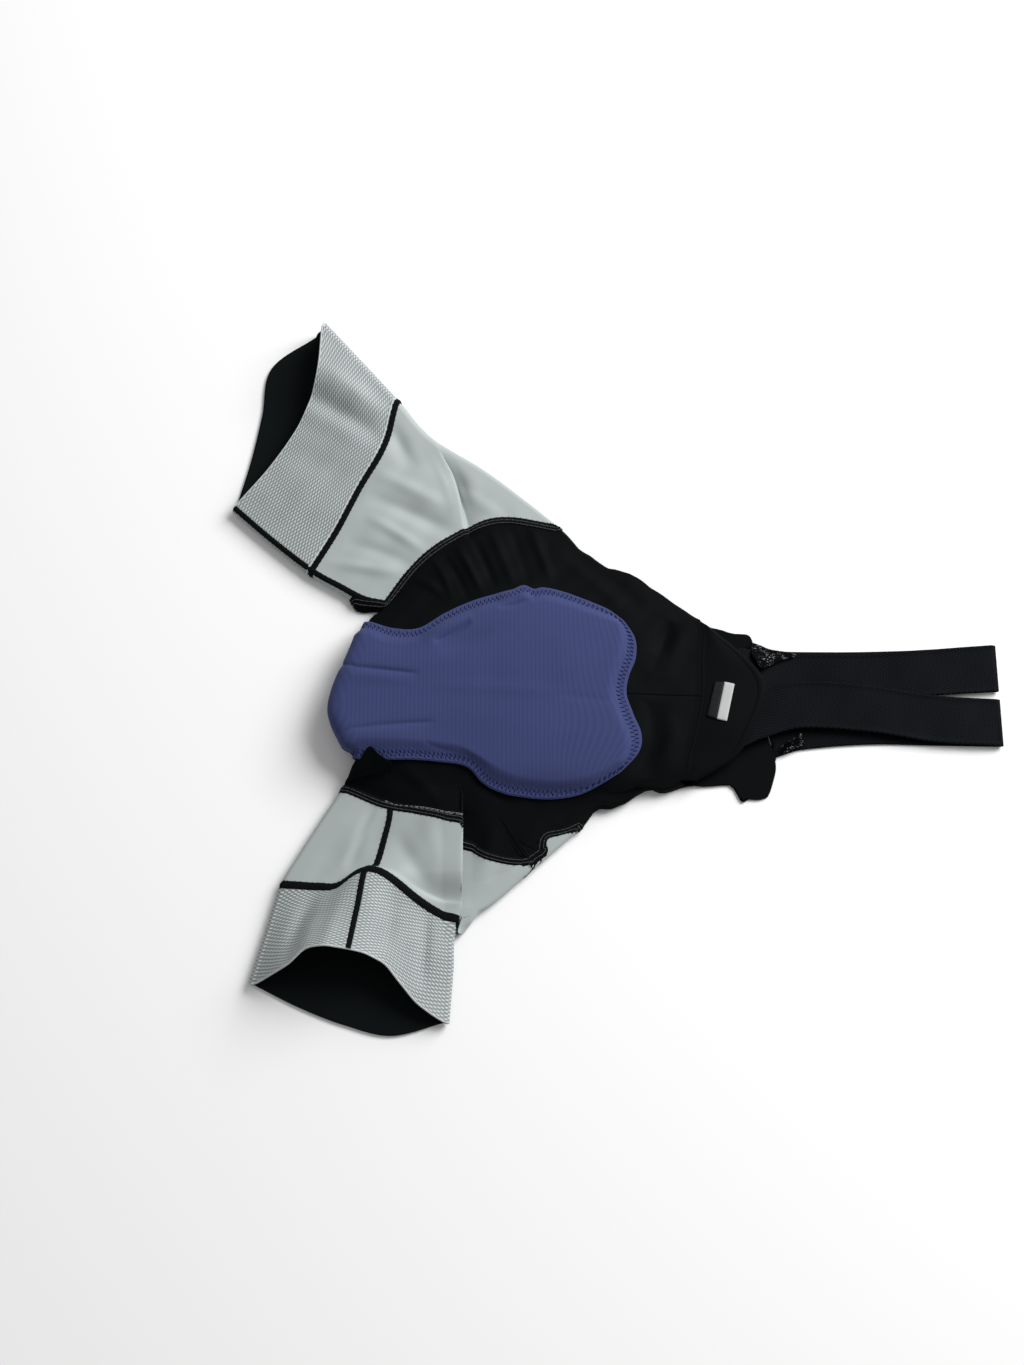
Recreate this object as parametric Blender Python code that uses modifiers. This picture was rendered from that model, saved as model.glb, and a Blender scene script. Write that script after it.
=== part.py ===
"""Cycling bib shorts, turned inside out and laid down with the seat up.

The cloth is one long sweep of flattened rings: it starts at the hem of the
right leg, runs through the seat and ends at the hem of the left leg. Each
panel is a stretch of that sweep, opened at the waist and thickened inwards.
Plan sizes and heights are in millimetres on the surface that the shorts lie
on: +X runs from the crotch to the shoulders, +Y to the right leg, +Z up.
"""
import math
from collections import namedtuple

import bpy
from mathutils import Vector

COLLECTION_NAME = "cycling_bib_shorts"
MM = 0.001

# Cloth and gaps
KNIT_THICKNESS = 1.2
BAND_THICKNESS = 1.6
SEAM_GAP = 0.6
LAY_GAP = 0.35
PAD_GAP = 0.8

# Share of a section over which a side fold opens into the waist.
WAIST_TURN = 0.4

# Share of a section that shows which way the sweep runs on from a seam, and
# the least slant that a seam is taken to have to that way.
SEAM_STEP = 0.03
LEAST_SLANT = 0.3

# A side fold rounds out by this share of its height, up to a reach that grows with it.
FOLD_ROUND = 0.5
FOLD_REACH = 5.0
FOLD_GROWTH = 0.1

# Where the seat and the front panel part at a side fold: how far their ends
# rise beside the ends of the waist, and over how many sections.
FOLD_END_RISE = 0.2
FOLD_END_SPREAD = 0.7

# How far the lower layer stands out beyond the right inseam: reach, row and spread.
INSEAM_STAND_OUT = 12.0
INSEAM_STAND_OUT_ROW = 4.4
INSEAM_STAND_OUT_SPREAD = 0.75

# A step in the upper layer: how its ends ease in, and how many widths it runs out over.
STEP_EASE = 0.3
STEP_RUN_OUT = 8.5

# Lobe of the front panel at the left corner of the waist: where it starts and
# ends along the garment, its ease there, its root, depth and reach.
LOBE_START = 190.0
LOBE_END = 231.0
LOBE_EASE = 11.0
LOBE_ROOT = -72.0
LOBE_DEPTH = 18.0
LOBE_REACH = 16.0

# Seat pad
PAD_THICKNESS = 7.2
PAD_EDGE_SHARE = 0.34
PAD_BORDER = 13.0
PAD_RAISE = PAD_THICKNESS + PAD_GAP
PAD_COLUMNS = 12
PAD_EDGE_CROWDING = 0.5
CROTCH_TURN = 14.0
PAD_STEPS = (
    [-96, -90, -78, -62, -45, -30]
    + [CROTCH_TURN * turn for turn in (-1.0, -0.6, -0.2, 0.2, 0.6, 1.0)]
    + [26, 42, 58, 74, 90, 106, 122, 138, 154, 170, 186, 202, 214, 225, 236]
)

# The pad's rear edge takes its shape over this many of the last stations.
REAR_STATIONS = 3.0

# Bed that the pad's folded-under end makes beneath the lower layer.
BED_START = -32.0
BED_RISE = 20.0
BED_MIDDLE = -15.0
BED_HALF_WIDTH = 82.0
BED_SLOPE = 18.0
BED_INSET = 9.0

# Straps
STRAP_WIDTH = 42.0
STRAP_THICKNESS = 1.3
STRAP_SEAM_GAP = 2.0 * SEAM_GAP
SHOULDER_ROUND = 1.5

# Labels, as their corners in plan
LABEL_THICKNESS = 0.6
DARK_LABEL = ((177, -4), (185, -4), (177, -38), (169, -35))
WHITE_LABEL = ((185.5, -4), (194, -6), (186, -40), (177.5, -38))

# Back yoke
YOKE_CROWN = 1.2
YOKE_SEAM_GAP = 1.5 * SEAM_GAP
YOKE_INSET_RIGHT = 0.1
YOKE_INSET_LEFT = 0.06

# Mesh density
TOP_COLUMNS = 16
UNDER_COLUMNS = 10
UNDER_CROWDING = 1.5
WAIST_SHARES = (0.98, 0.955, 0.93, 0.9)
BAND_STEPS = 5
LEG_STEPS = 9
SEAT_STEPS = 12
FRONT_STEPS = 22
LOBE_STEPS = 6
YOKE_STEPS = 14
YOKE_COLUMNS = 7
STRAP_STEPS = 12
STRAP_COLUMNS = 4
SHOULDER_STEPS = 6
LABEL_STEPS = 4
LABEL_COLUMNS = 2

# Searches for a row: halvings of its range, and rounds where the share follows the row.
HALVINGS = 30
YOKE_ROUNDS = 12

# Steps to either side of a place that give the cloth's normal: rows and millimetres.
NORMAL_ROW_STEP = 0.02
NORMAL_STEP = 1.5

# Corners of a side fold, as shares of its turn from the upper to the lower
# layer; the seat and the front panel part in the middle of the upright side.
FOLD_CORNERS = (0.2, 0.4, 0.6, 0.8)
SEAT_END = 0.5
FRONT_END = 0.5 + 1e-6

# One row for each section of the sweep. inner is the crotch or inseam edge
# and outer the side edge, as seen from above; bow moves the quarter points of
# the upper layer across the chord, and under_bow those of the lower layer;
# lift is the height of the upper layer at the inner edge, the three quarter
# points and the outer edge.
Section = namedtuple("Section", "name inner outer bow under_bow lift")
SECTIONS = (
    Section("right_hem", (-252, 160), (-171, 342), (-14, -21, -17), (7, 16, 26), (9, 15, 19, 31, 30)),
    Section("right_band", (-216, 128), (-136, 304), (-9, -12, -12), (4, 9, 14), (9, 13, 16, 25, 24)),
    Section("right_band_top", (-180, 99), (-103, 267), (-4, -5, -8), (1, 3, 5), (9, 11, 14, 18, 19)),
    Section("right_thigh", (-155, 84), (-73, 232), (0, 0, -2), (0, 1, 2), (9, 11, 13, 14, 14)),
    Section("right_hip", (-135, 73), (-20, 197), (6, 8, 4), (4, 6, 4), (9, 11, 12, 12, 10)),
    Section("right_seam", (-116, 67), (43, 145), (22, 31, 28), (18, 26, 22), (9, 11, 12, 10, 8)),
    Section("right_seat", (-125, 56), (86, 105), (16, 20, 13), (13, 17, 11), (14, 15, 16, 12, 8)),
    Section("right_flank", (-129, 44), (132, 82), (5, 6, 3), (4, 6, 3), (20, 19, 19, 15, 9)),
    Section("right_yoke_end", (-133, 30), (167, 53), (0, 0, 0), (0, 0, 0), (24, 22, 22, 18, 12)),
    Section("right_back", (-141, 6), (167, 17), (0, 0, 0), (0, 0, 0), (26, 24, 24, 20, 13)),
    Section("centre_back", (-148, -15), (166, -17), (0, 0, 0), (0, 0, 0), (26, 24, 24, 20, 13)),
    Section("left_back", (-151, -34), (160, -46), (0, 0, 0), (0, 0, 0), (26, 24, 24, 20, 13)),
    Section("left_low_back", (-147, -51), (154, -69), (0, 0, 0), (0, 0, 0), (26, 23, 23, 19, 12)),
    Section("left_yoke_end", (-138, -70), (145, -94), (0, 0, 0), (0, 0, 0), (24, 22, 21, 16, 10)),
    Section("left_flank", (-138, -81), (107, -104), (-2, -4, -6), (-2, -4, -6), (19, 20, 18, 12, 8)),
    Section("left_seat", (-142, -90), (78, -116), (-6, -8, -18), (-6, -8, -12), (14, 17, 16, 10, 8)),
    Section("left_seam", (-147, -99), (57, -135), (-10, -14, -40), (-8, -14, -26), (10, 13, 12, 8, 8)),
    Section("left_hip", (-164, -126), (8, -178), (-3, -6, -18), (-3, -6, -12), (9, 13, 14, 8, 8)),
    Section("left_thigh", (-182, -156), (-22, -203), (2, 8, -2), (-1, -2, -2), (9, 13, 21, 10, 8)),
    Section("left_band_top", (-196, -182), (-46, -213), (7, 23, 12), (-3, -5, -5), (9, 15, 29, 19, 9)),
    Section("left_band", (-208, -224), (-49, -256), (18, 31, 17), (-7, -12, -12), (9, 28, 38, 21, 9)),
    Section("left_hem", (-220, -266), (-52, -299), (30, 38, 22), (-11, -18, -19), (9, 42, 46, 23, 9)),
)
ROW = {section.name: number for number, section in enumerate(SECTIONS)}

# Folds of the upper layer: a ridge or a trough along a line in plan, or a
# step that stands high on its crotch side and falls away on its outer side.
Fold = namedtuple("Fold", "kind start middle end width height")
FOLDS = (
    Fold("step", (-45, -96), (-44, -140), (-46, -206), 9, 10.0),
    Fold("trough", (-84, 236), (-56, 212), (-46, 168), 11, -3.0),
    Fold("ridge", (-62, 236), (-40, 205), (-30, 168), 12, 2.5),
    Fold("trough", (141, 52), (136, 38), (128, 20), 8, -2.5),
    Fold("trough", (124, -20), (130, -52), (110, -92), 10, -3.0),
    Fold("ridge", (140, -34), (142, -58), (126, -90), 10, 2.0),
)

# Where the waist of each section ends on the front panel.
WAIST_EDGE = {
    "right_yoke_end": (184, 45),
    "right_back": (212, 32),
    "centre_back": (214, -12),
    "left_back": (222, -46),
    "left_low_back": (227, -84),
    "left_yoke_end": (188, -94),
}

# Free edge of the back yoke at each section that it spans.
YOKE_EDGE = (
    ("right_yoke_end", (172, 50), 10.0),
    ("right_back", (208, 17), 12.0),
    ("centre_back", (221, -9), 12.0),
    ("left_back", (209, -45), 12.0),
    ("left_low_back", (193, -71), 11.0),
    ("left_yoke_end", (158, -93), 9.0),
)

# Outline of the seat pad: distance along the cloth from the crotch fold
# (negative beneath it), and the pad's two side edges.
PadStation = namedtuple("PadStation", "along low high")
PAD_OUTLINE = (
    PadStation(-96, -30, 4),
    PadStation(-86, -46, 18),
    PadStation(-60, -58, 30),
    PadStation(-25, -70, 42),
    PadStation(8, -75, 48),
    PadStation(32, -76, 41),
    PadStation(56, -76, 41),
    PadStation(80, -78, 56),
    PadStation(103, -82, 67),
    PadStation(125, -97, 74),
    PadStation(145, -105, 81),
    PadStation(165, -108, 81),
    PadStation(185, -108, 77),
    PadStation(205, -104, 69),
    PadStation(222, -93, 61),
    PadStation(236, -85, 50),
)

# How far the pad's rear edge reaches beyond its last station, at each eighth of
# its width: two lobes, and a notch between them at the centre back seam.
PAD_REAR = (0, 22.5, 31, 25.5, 17.5, 15.5, 17.2, 12.8, 0)

# Run of each strap in plan and height: from under the yoke to the shoulder
# fold (upper run), and back beneath to the front panel (lower run).
StrapRun = namedtuple("StrapRun", "x upper_y upper_z lower_y")
RIGHT_STRAP = (
    StrapRun(198, 8, 10.1, 8),
    StrapRun(222, 6, 6.8, 8),
    StrapRun(250, 4, 4.6, 7),
    StrapRun(310, 4, 4.4, 7),
    StrapRun(370, 8, 4.6, 9),
    StrapRun(424, 12, 4.4, 12),
)
LEFT_STRAP = (
    StrapRun(190, -46, 10.0, -50),
    StrapRun(214, -34, 9.4, -42),
    StrapRun(250, -23, 7.8, -37),
    StrapRun(310, -26, 7.0, -36),
    StrapRun(370, -35, 5.8, -37),
    StrapRun(424, -38, 4.6, -38),
)

# Finishes: name, colour and roughness
KNIT_BLACK = ("black_knit", (0.012, 0.013, 0.015), 0.72)
KNIT_GREY = ("grey_knit", (0.42, 0.46, 0.46), 0.68)
BAND_GREY = ("honeycomb_band", (0.36, 0.38, 0.38), 0.75)
PAD_BLUE = ("blue_pad", (0.075, 0.085, 0.235), 0.80)
STRAP_BLACK = ("mesh_strap", (0.014, 0.016, 0.022), 0.60)
LABEL_BLACK = ("label_black", (0.010, 0.010, 0.012), 0.55)
LABEL_WHITE = ("label_white", (0.75, 0.76, 0.78), 0.55)


def clear_scene():
    """Remove every object that the file holds."""
    for old_object in list(bpy.data.objects):
        bpy.data.objects.remove(old_object, do_unlink=True)


def make_collection():
    """Return the collection that the garment's pieces go in."""
    collection = bpy.data.collections.new(COLLECTION_NAME)
    bpy.context.scene.collection.children.link(collection)
    return collection


def make_material(finish):
    """Return a Principled material of a finish: its name, colour and roughness."""
    name, colour, roughness = finish
    material = bpy.data.materials.new(name)
    material.use_nodes = True
    shader = material.node_tree.nodes["Principled BSDF"]
    shader.inputs["Base Color"].default_value = (*colour, 1.0)
    shader.inputs["Roughness"].default_value = roughness
    shader.inputs["Metallic"].default_value = 0.0
    material.diffuse_color = (*colour, 1.0)
    return material


def smooth_step(value):
    """Ease a value from 0 to 1."""
    value = min(1.0, max(0.0, value))
    return value * value * (3.0 - 2.0 * value)


def spline(values, place):
    """Read a Catmull-Rom curve through evenly spaced values at a place from 0 to their count - 1."""
    last = len(values) - 1
    place = min(float(last), max(0.0, place))
    first = min(int(place), last - 1)
    share = place - first
    after = first + 1
    before_value = values[first - 1] if first > 0 else 2.0 * values[0] - values[1]
    next_value = values[after + 1] if after < last else 2.0 * values[last] - values[last - 1]
    slope_in = 0.5 * (values[after] - before_value)
    slope_out = 0.5 * (next_value - values[first])
    square = share * share
    cube = square * share
    return (
        (2.0 * cube - 3.0 * square + 1.0) * values[first]
        + (cube - 2.0 * square + share) * slope_in
        + (3.0 * square - 2.0 * cube) * values[after]
        + (cube - square) * slope_out
    )


def column(field, item=None):
    """Return one named column of the section table, or one item of it."""
    if item is None:
        return [getattr(section, field) for section in SECTIONS]
    return [getattr(section, field)[item] for section in SECTIONS]


INNER_X, INNER_Y = column("inner", 0), column("inner", 1)
OUTER_X, OUTER_Y = column("outer", 0), column("outer", 1)
BOWS = [column("bow", item) for item in range(3)]
UNDER_BOWS = [column("under_bow", item) for item in range(3)]
LIFTS = [column("lift", item) for item in range(5)]
WAIST_X = [WAIST_EDGE.get(section.name, section.outer)[0] for section in SECTIONS]
WAIST_Y = [WAIST_EDGE.get(section.name, section.outer)[1] for section in SECTIONS]


def waist_open(row):
    """Return 1 where the side of a section is cut open for the waist, and 0 at the side folds."""
    first, last = ROW["right_yoke_end"], ROW["left_yoke_end"]
    return smooth_step((row - first) / WAIST_TURN + 1.0) * smooth_step((last - row) / WAIST_TURN + 1.0)


def fold_bulge(height):
    """Return how far a side fold rounds out for the height of its upper layer."""
    return min(FOLD_ROUND * height, FOLD_REACH + FOLD_GROWTH * height)


def fold_line(fold, share):
    """Return a point of a fold's line, a curve from its start past its middle to its end."""
    keep = 1.0 - share
    start, middle, end = Vector(fold.start), Vector(fold.middle), Vector(fold.end)
    return start * keep * keep + middle * 2.0 * keep * share + end * share * share


def fold_height(x, y):
    """Return the height that the folds add to the upper layer at a place in plan."""
    total = 0.0
    place = Vector((x, y))
    for fold in FOLDS:
        run = Vector(fold.end) - Vector(fold.start)
        share = (place - Vector(fold.start)).dot(run) / run.length_squared
        if not 0.0 < share < 1.0:
            continue
        away = place - fold_line(fold, share)
        gap = away.length
        if fold.kind == "step":
            ends = smooth_step(share / STEP_EASE) * smooth_step((1.0 - share) / STEP_EASE)
            reach = fold.width if away.x > 0 else STEP_RUN_OUT * fold.width
            shape = smooth_step(1.0 - gap / reach)
        else:
            ends = math.sin(math.pi * share)
            shape = math.exp(-((gap / fold.width) ** 2))
        total += fold.height * shape * ends
    return total


def pad_bed(x, y):
    """Return how far the lower layer is raised by the part of the pad that lies beneath it."""
    along = smooth_step((BED_START - x) / BED_RISE)
    across = smooth_step((BED_HALF_WIDTH - abs(y - BED_MIDDLE)) / BED_SLOPE)
    return PAD_RAISE * along * across


def lobe_reach(x, y):
    """Return how far the lobe at the waist's left corner hangs out at a place in plan."""
    along = smooth_step((x - LOBE_START) / LOBE_EASE) * smooth_step((LOBE_END - x) / LOBE_EASE)
    return LOBE_REACH * along * smooth_step((LOBE_ROOT - y) / LOBE_DEPTH)


def edges(row):
    """Return the inner and outer edge of a section in plan, and of its lower layer."""
    inner = Vector((spline(INNER_X, row), spline(INNER_Y, row)))
    outer = Vector((spline(OUTER_X, row), spline(OUTER_Y, row)))
    waist = Vector((spline(WAIST_X, row), spline(WAIST_Y, row)))
    return inner, outer, waist


def stand_out(row):
    """Return how far the lower layer shows beyond the upper one at the right inseam."""
    away = (row - INSEAM_STAND_OUT_ROW) / INSEAM_STAND_OUT_SPREAD
    return INSEAM_STAND_OUT * math.exp(-(away**2))


def upper_point(row, share):
    """Return a point of the upper layer, from the inner edge (0) to the outer edge (1)."""
    inner, outer, _ = edges(row)
    chord = (outer - inner).normalized()
    normal = Vector((-chord.y, chord.x))
    lift_inner, lift_outer = spline(LIFTS[0], row), spline(LIFTS[4], row)
    start = inner + chord * fold_bulge(lift_inner - inner_floor(row))
    end = outer - chord * fold_bulge(lift_outer)
    bow = spline([0.0] + [spline(values, row) for values in BOWS] + [0.0], 4.0 * share)
    plan = start.lerp(end, share) + normal * bow
    height = spline([spline(values, row) for values in LIFTS], 4.0 * share)
    window = min(1.0, 6.0 * share, 6.0 * (1.0 - share) + waist_open(row))
    height += fold_height(plan.x, plan.y) * smooth_step(window)
    return Vector((plan.x, plan.y, height))


def inner_floor(row):
    """Return the height of the lower layer at the inner edge."""
    inner, _, _ = edges(row)
    return pad_bed(inner.x + BED_INSET, inner.y)


def under_point(row, share):
    """Return a point of the lower layer, from the inner edge (0) to the outer edge (1)."""
    inner, _, waist = edges(row)
    chord = (waist - inner).normalized()
    normal = Vector((-chord.y, chord.x))
    lift_inner, lift_outer = spline(LIFTS[0], row), spline(LIFTS[4], row)
    start = inner + chord * (fold_bulge(lift_inner - inner_floor(row)) - stand_out(row))
    end = waist - chord * fold_bulge(lift_outer)
    bow = spline([0.0] + [spline(values, row) for values in UNDER_BOWS] + [0.0], 4.0 * share)
    plan = start.lerp(end, share) + normal * bow
    return Vector((plan.x, plan.y, pad_bed(plan.x, plan.y)))


def side_point(row, turn, outer_side):
    """Return a point of a side fold, from the upper layer (turn 0) to the lower layer (turn 1)."""
    upper = upper_point(row, 1.0 if outer_side else 0.0)
    lower = under_point(row, 1.0 if outer_side else 0.0)
    inner, outer, waist = edges(row)
    chord = (outer - inner).normalized()
    outward = chord if outer_side else -chord
    opened = waist_open(row) if outer_side else 0.0
    angle = math.pi * turn
    lift = spline(LIFTS[4], row) if outer_side else spline(LIFTS[0], row) - inner_floor(row)
    bulge = fold_bulge(lift)
    blend = 0.5 * (1.0 - math.cos(angle))
    plan_upper, plan_lower = upper.xy, lower.xy
    if outer_side and turn <= 0.5:
        plan_lower = plan_upper.lerp(plan_lower, 1.0 - opened)
    if outer_side and turn > 0.5:
        plan_upper = plan_lower.lerp(plan_upper, 1.0 - opened)
    reach = math.sin(angle) * (1.0 - opened) + (1.0 - abs(2.0 * turn - 1.0)) * opened
    plan = plan_upper.lerp(plan_lower, blend) + outward * bulge * reach
    height = upper.z + (lower.z - upper.z) * blend
    if turn <= 0.5:
        height += opened * (upper.z - height)
    else:
        height += opened * (lower.z - height)
    return Vector((plan.x, plan.y, height))


def upper_shares():
    """Return the places across the upper layer."""
    return [step / TOP_COLUMNS for step in range(TOP_COLUMNS + 1)]


def under_shares():
    """Return the places across the lower layer, closer together near the crotch."""
    return [(1.0 - step / UNDER_COLUMNS) ** UNDER_CROWDING for step in range(UNDER_COLUMNS + 1)]


def ring_columns():
    """Return the places round a closed ring, as the name of a stretch and a share of it."""
    places = [("upper", share) for share in upper_shares()]
    places += [("outer", turn) for turn in FOLD_CORNERS]
    places += [("under", share) for share in under_shares()]
    places += [("inner", turn) for turn in reversed(FOLD_CORNERS)]
    return places


def seat_columns():
    """Return the places across a seat panel, from the crotch fold to the side fold."""
    near = FOLD_CORNERS[:2]
    places = [("inner_end", near[1])] + [("inner", turn) for turn in reversed(near)]
    places += [("upper", share) for share in upper_shares()]
    places += [("outer", turn) for turn in near] + [("outer_end", near[1])]
    return places


def front_columns():
    """Return the places across the front panel, from the side fold to the crotch fold."""
    far = FOLD_CORNERS[2:]
    places = [("outer_end", far[0])] + [("outer", turn) for turn in far]
    shares = sorted([*under_shares(), *WAIST_SHARES], reverse=True)
    places += [("under", share) for share in shares]
    places += [("inner", turn) for turn in reversed(far)] + [("inner_end", far[0])]
    return places


def fold_end(row, turn, outer_side):
    """Return the middle of a side fold, where the seat or the front panel ends at a seam or the waist."""
    corner = side_point(row, turn, outer_side)
    across = side_point(row, 1.0 - turn, outer_side)
    if not outer_side:
        return 0.5 * (corner + across)
    from_end = min(abs(row - ROW["right_yoke_end"]), abs(row - ROW["left_yoke_end"]))
    rise = FOLD_END_RISE * math.exp(-((from_end / FOLD_END_SPREAD) ** 2))
    middle = corner.lerp(across, 0.5 - rise)
    edge = side_point(row, SEAT_END if turn < SEAT_END else FRONT_END, True)
    return middle.lerp(edge, waist_open(row))


def sweep_point(row, place):
    """Return the outer surface of the sweep at a row and a place round its ring."""
    stretch, share = place
    if stretch == "upper":
        return upper_point(row, share)
    if stretch == "under":
        point = under_point(row, share)
    elif stretch.endswith("_end"):
        point = fold_end(row, share, stretch == "outer_end")
    else:
        point = side_point(row, share, stretch == "outer")
    point.y -= lobe_reach(point.x, point.y)
    return point


def draw_back(line, ahead):
    """Draw a line of seam points back from the seam by half its gap, towards the points ahead."""
    drawn = []
    for number, point in enumerate(line):
        along = line[min(number + 1, len(line) - 1)] - line[max(number - 1, 0)]
        travel = (ahead[number] - point).normalized()
        slant = max(LEAST_SLANT, travel.cross(along.normalized()).length)
        drawn.append(point + travel * (0.5 * SEAM_GAP / slant))
    return drawn


def even_rows(first, last, steps):
    """Return evenly spaced rows from one named section to another."""
    start, end = ROW[first], ROW[last]
    return [start + (end - start) * step / steps for step in range(steps + 1)]


def loft_rows(places, rows, seams=(True, True)):
    """Return the grid of points of a stretch of the sweep, with a line for each row.

    seams tells whether its first and its last line are at a seam, from which
    the cloth is drawn back.
    """
    grid = [[sweep_point(row, place) for place in places] for row in rows]
    for line, step, at_seam in ((0, SEAM_STEP, seams[0]), (-1, -SEAM_STEP, seams[1])):
        if at_seam:
            grid[line] = draw_back(grid[line], [sweep_point(rows[line] + step, place) for place in places])
    return grid


def add_sheet(collection, name, grid, thickness, material, closed=False, outward=-1.0, weights=None):
    """Make a sheet of cloth from a grid of points and thicken it.

    outward is Solidify's offset: -1 thickens behind the grid, +1 in front.
    weights, where given, hold each grid point's share of the thickness.
    """
    width = len(grid[0])
    points = [point * MM for line in grid for point in line]
    faces = []
    for number in range(len(grid) - 1):
        for place in range(width if closed else width - 1):
            right = (place + 1) % width
            low, high = number * width, (number + 1) * width
            faces.append((low + place, high + place, high + right, low + right))
    mesh = bpy.data.meshes.new(name)
    mesh.from_pydata([tuple(point) for point in points], [], faces)
    mesh.validate()
    mesh.shade_smooth()
    mesh.materials.append(material)
    piece = bpy.data.objects.new(name, mesh)
    collection.objects.link(piece)
    solidify = piece.modifiers.new("cloth", "SOLIDIFY")
    solidify.thickness = thickness * MM
    solidify.offset = outward
    solidify.use_rim = True
    if weights is not None:
        group = piece.vertex_groups.new(name="thickness")
        for number, line in enumerate(weights):
            for place, weight in enumerate(line):
                group.add([number * width + place], weight, "REPLACE")
        solidify.vertex_group = group.name
    return piece


def add_leg_piece(collection, name, rows, seams, thickness, material):
    """Make one closed piece of a leg: its hem band or its grey panel."""
    grid = loft_rows(ring_columns(), rows, seams)
    return add_sheet(collection, name, grid, thickness, material, closed=True)


def part_folds(grid):
    """Draw both edges of a grid back from the middle of their side folds by half a seam gap."""
    for line in grid:
        for end, neighbour in ((0, 1), (-1, -2)):
            line[end] = line[end] + (line[neighbour] - line[end]).normalized() * (0.5 * SEAM_GAP)


def add_seat_half(collection, name, first, last, material):
    """Make one half of the seat, between a leg seam and the centre back seam."""
    grid = loft_rows(seat_columns(), even_rows(first, last, SEAT_STEPS))
    part_folds(grid)
    return add_sheet(collection, name, grid, KNIT_THICKNESS, material)


def add_front(collection, material):
    """Make the front panel, which lies beneath the seat and reaches the bib's straps."""
    rows = even_rows("right_seam", "left_seam", FRONT_STEPS)
    rows += even_rows("left_low_back", "left_yoke_end", LOBE_STEPS)
    grid = loft_rows(front_columns(), sorted(set(rows)))
    part_folds(grid)
    return add_sheet(collection, "front_panel", grid, KNIT_THICKNESS, material)


def yoke_point(row, share):
    """Return a point of the back yoke, from its seam (0) to its free edge (1)."""
    first = ROW["right_yoke_end"]
    seam = side_point(row, 0.5, True)
    edge_x = spline([edge[0] for _, edge, _ in YOKE_EDGE], row - first)
    edge_y = spline([edge[1] for _, edge, _ in YOKE_EDGE], row - first)
    edge_z = spline([height for _, _, height in YOKE_EDGE], row - first)
    edge = Vector((edge_x, edge_y, edge_z))
    point = seam.lerp(edge, share)
    point.z += YOKE_CROWN * math.sin(math.pi * share)
    return point


def add_yoke(collection, material):
    """Make the back yoke, whose rounded free edge lies over the straps."""
    first = ROW["right_yoke_end"] + YOKE_INSET_RIGHT
    last = ROW["left_yoke_end"] - YOKE_INSET_LEFT
    grid = []
    for number in range(YOKE_STEPS + 1):
        row = first + (last - first) * number / YOKE_STEPS
        start = YOKE_SEAM_GAP / (yoke_point(row, 1.0) - yoke_point(row, 0.0)).length
        shares = [start + (1.0 - start) * place / YOKE_COLUMNS for place in range(YOKE_COLUMNS + 1)]
        grid.append([yoke_point(row, share) for share in shares])
    return add_sheet(collection, "back_yoke", grid, KNIT_THICKNESS, material)


def find_row(first, last, lies_above):
    """Return the row between two named sections where the sweep stops lying above a place."""
    low, high = float(ROW[first]), float(ROW[last])
    for _ in range(HALVINGS):
        middle = 0.5 * (low + high)
        if lies_above(middle):
            low = middle
        else:
            high = middle
    return 0.5 * (low + high)


def place_on_yoke(x, y):
    """Return the point of the yoke's upper side that lies above a place in plan."""
    share = 0.5
    for _ in range(YOKE_ROUNDS):
        row = find_row("right_yoke_end", "left_yoke_end", lambda middle: yoke_point(middle, share).y > y)
        seam, edge = yoke_point(row, 0.0), yoke_point(row, 1.0)
        share = (x - seam.x) / (edge.x - seam.x)
    return yoke_point(row, share)


def add_label(collection, name, corners, material):
    """Make a flat woven label from its four corners in plan, on the yoke."""
    corner = [Vector(spot) for spot in corners]
    grid = []
    for number in range(LABEL_STEPS + 1):
        along = number / LABEL_STEPS
        near, far = corner[0].lerp(corner[3], along), corner[1].lerp(corner[2], along)
        plans = [near.lerp(far, place / LABEL_COLUMNS) for place in range(LABEL_COLUMNS + 1)]
        grid.append([place_on_yoke(plan.x, plan.y) + Vector((0.0, 0.0, LAY_GAP)) for plan in plans])
    return add_sheet(collection, name, grid, LABEL_THICKNESS, material, outward=1.0)


def cloth_point(row, along):
    """Return the outer surface at a distance along a section from its crotch fold."""
    if abs(along) <= CROTCH_TURN:
        return side_point(row, 0.5 - 0.5 * along / CROTCH_TURN, False)
    beyond = abs(along) - CROTCH_TURN
    if along > 0:
        length = (upper_point(row, 1.0).xy - upper_point(row, 0.0).xy).length
        return upper_point(row, min(1.0, beyond / length))
    length = (under_point(row, 1.0).xy - under_point(row, 0.0).xy).length
    return under_point(row, min(1.0, beyond / length))


def row_at(along, y):
    """Return the row whose cloth lies at a distance along its section and a place across."""
    return find_row("right_seam", "left_seam", lambda middle: cloth_point(middle, along).y > y)


def cloth_normal(row, along):
    """Return the outward normal of the cloth at a place."""
    across = cloth_point(row + NORMAL_ROW_STEP, along) - cloth_point(row - NORMAL_ROW_STEP, along)
    forward = cloth_point(row, along + NORMAL_STEP) - cloth_point(row, along - NORMAL_STEP)
    return across.cross(forward).normalized()


def station_at(stations, distance):
    """Return the place among evenly numbered stations of a distance along the cloth."""
    for number in range(len(stations) - 1):
        if distance <= stations[number + 1]:
            return number + (distance - stations[number]) / (stations[number + 1] - stations[number])
    return float(len(stations) - 1)


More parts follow.
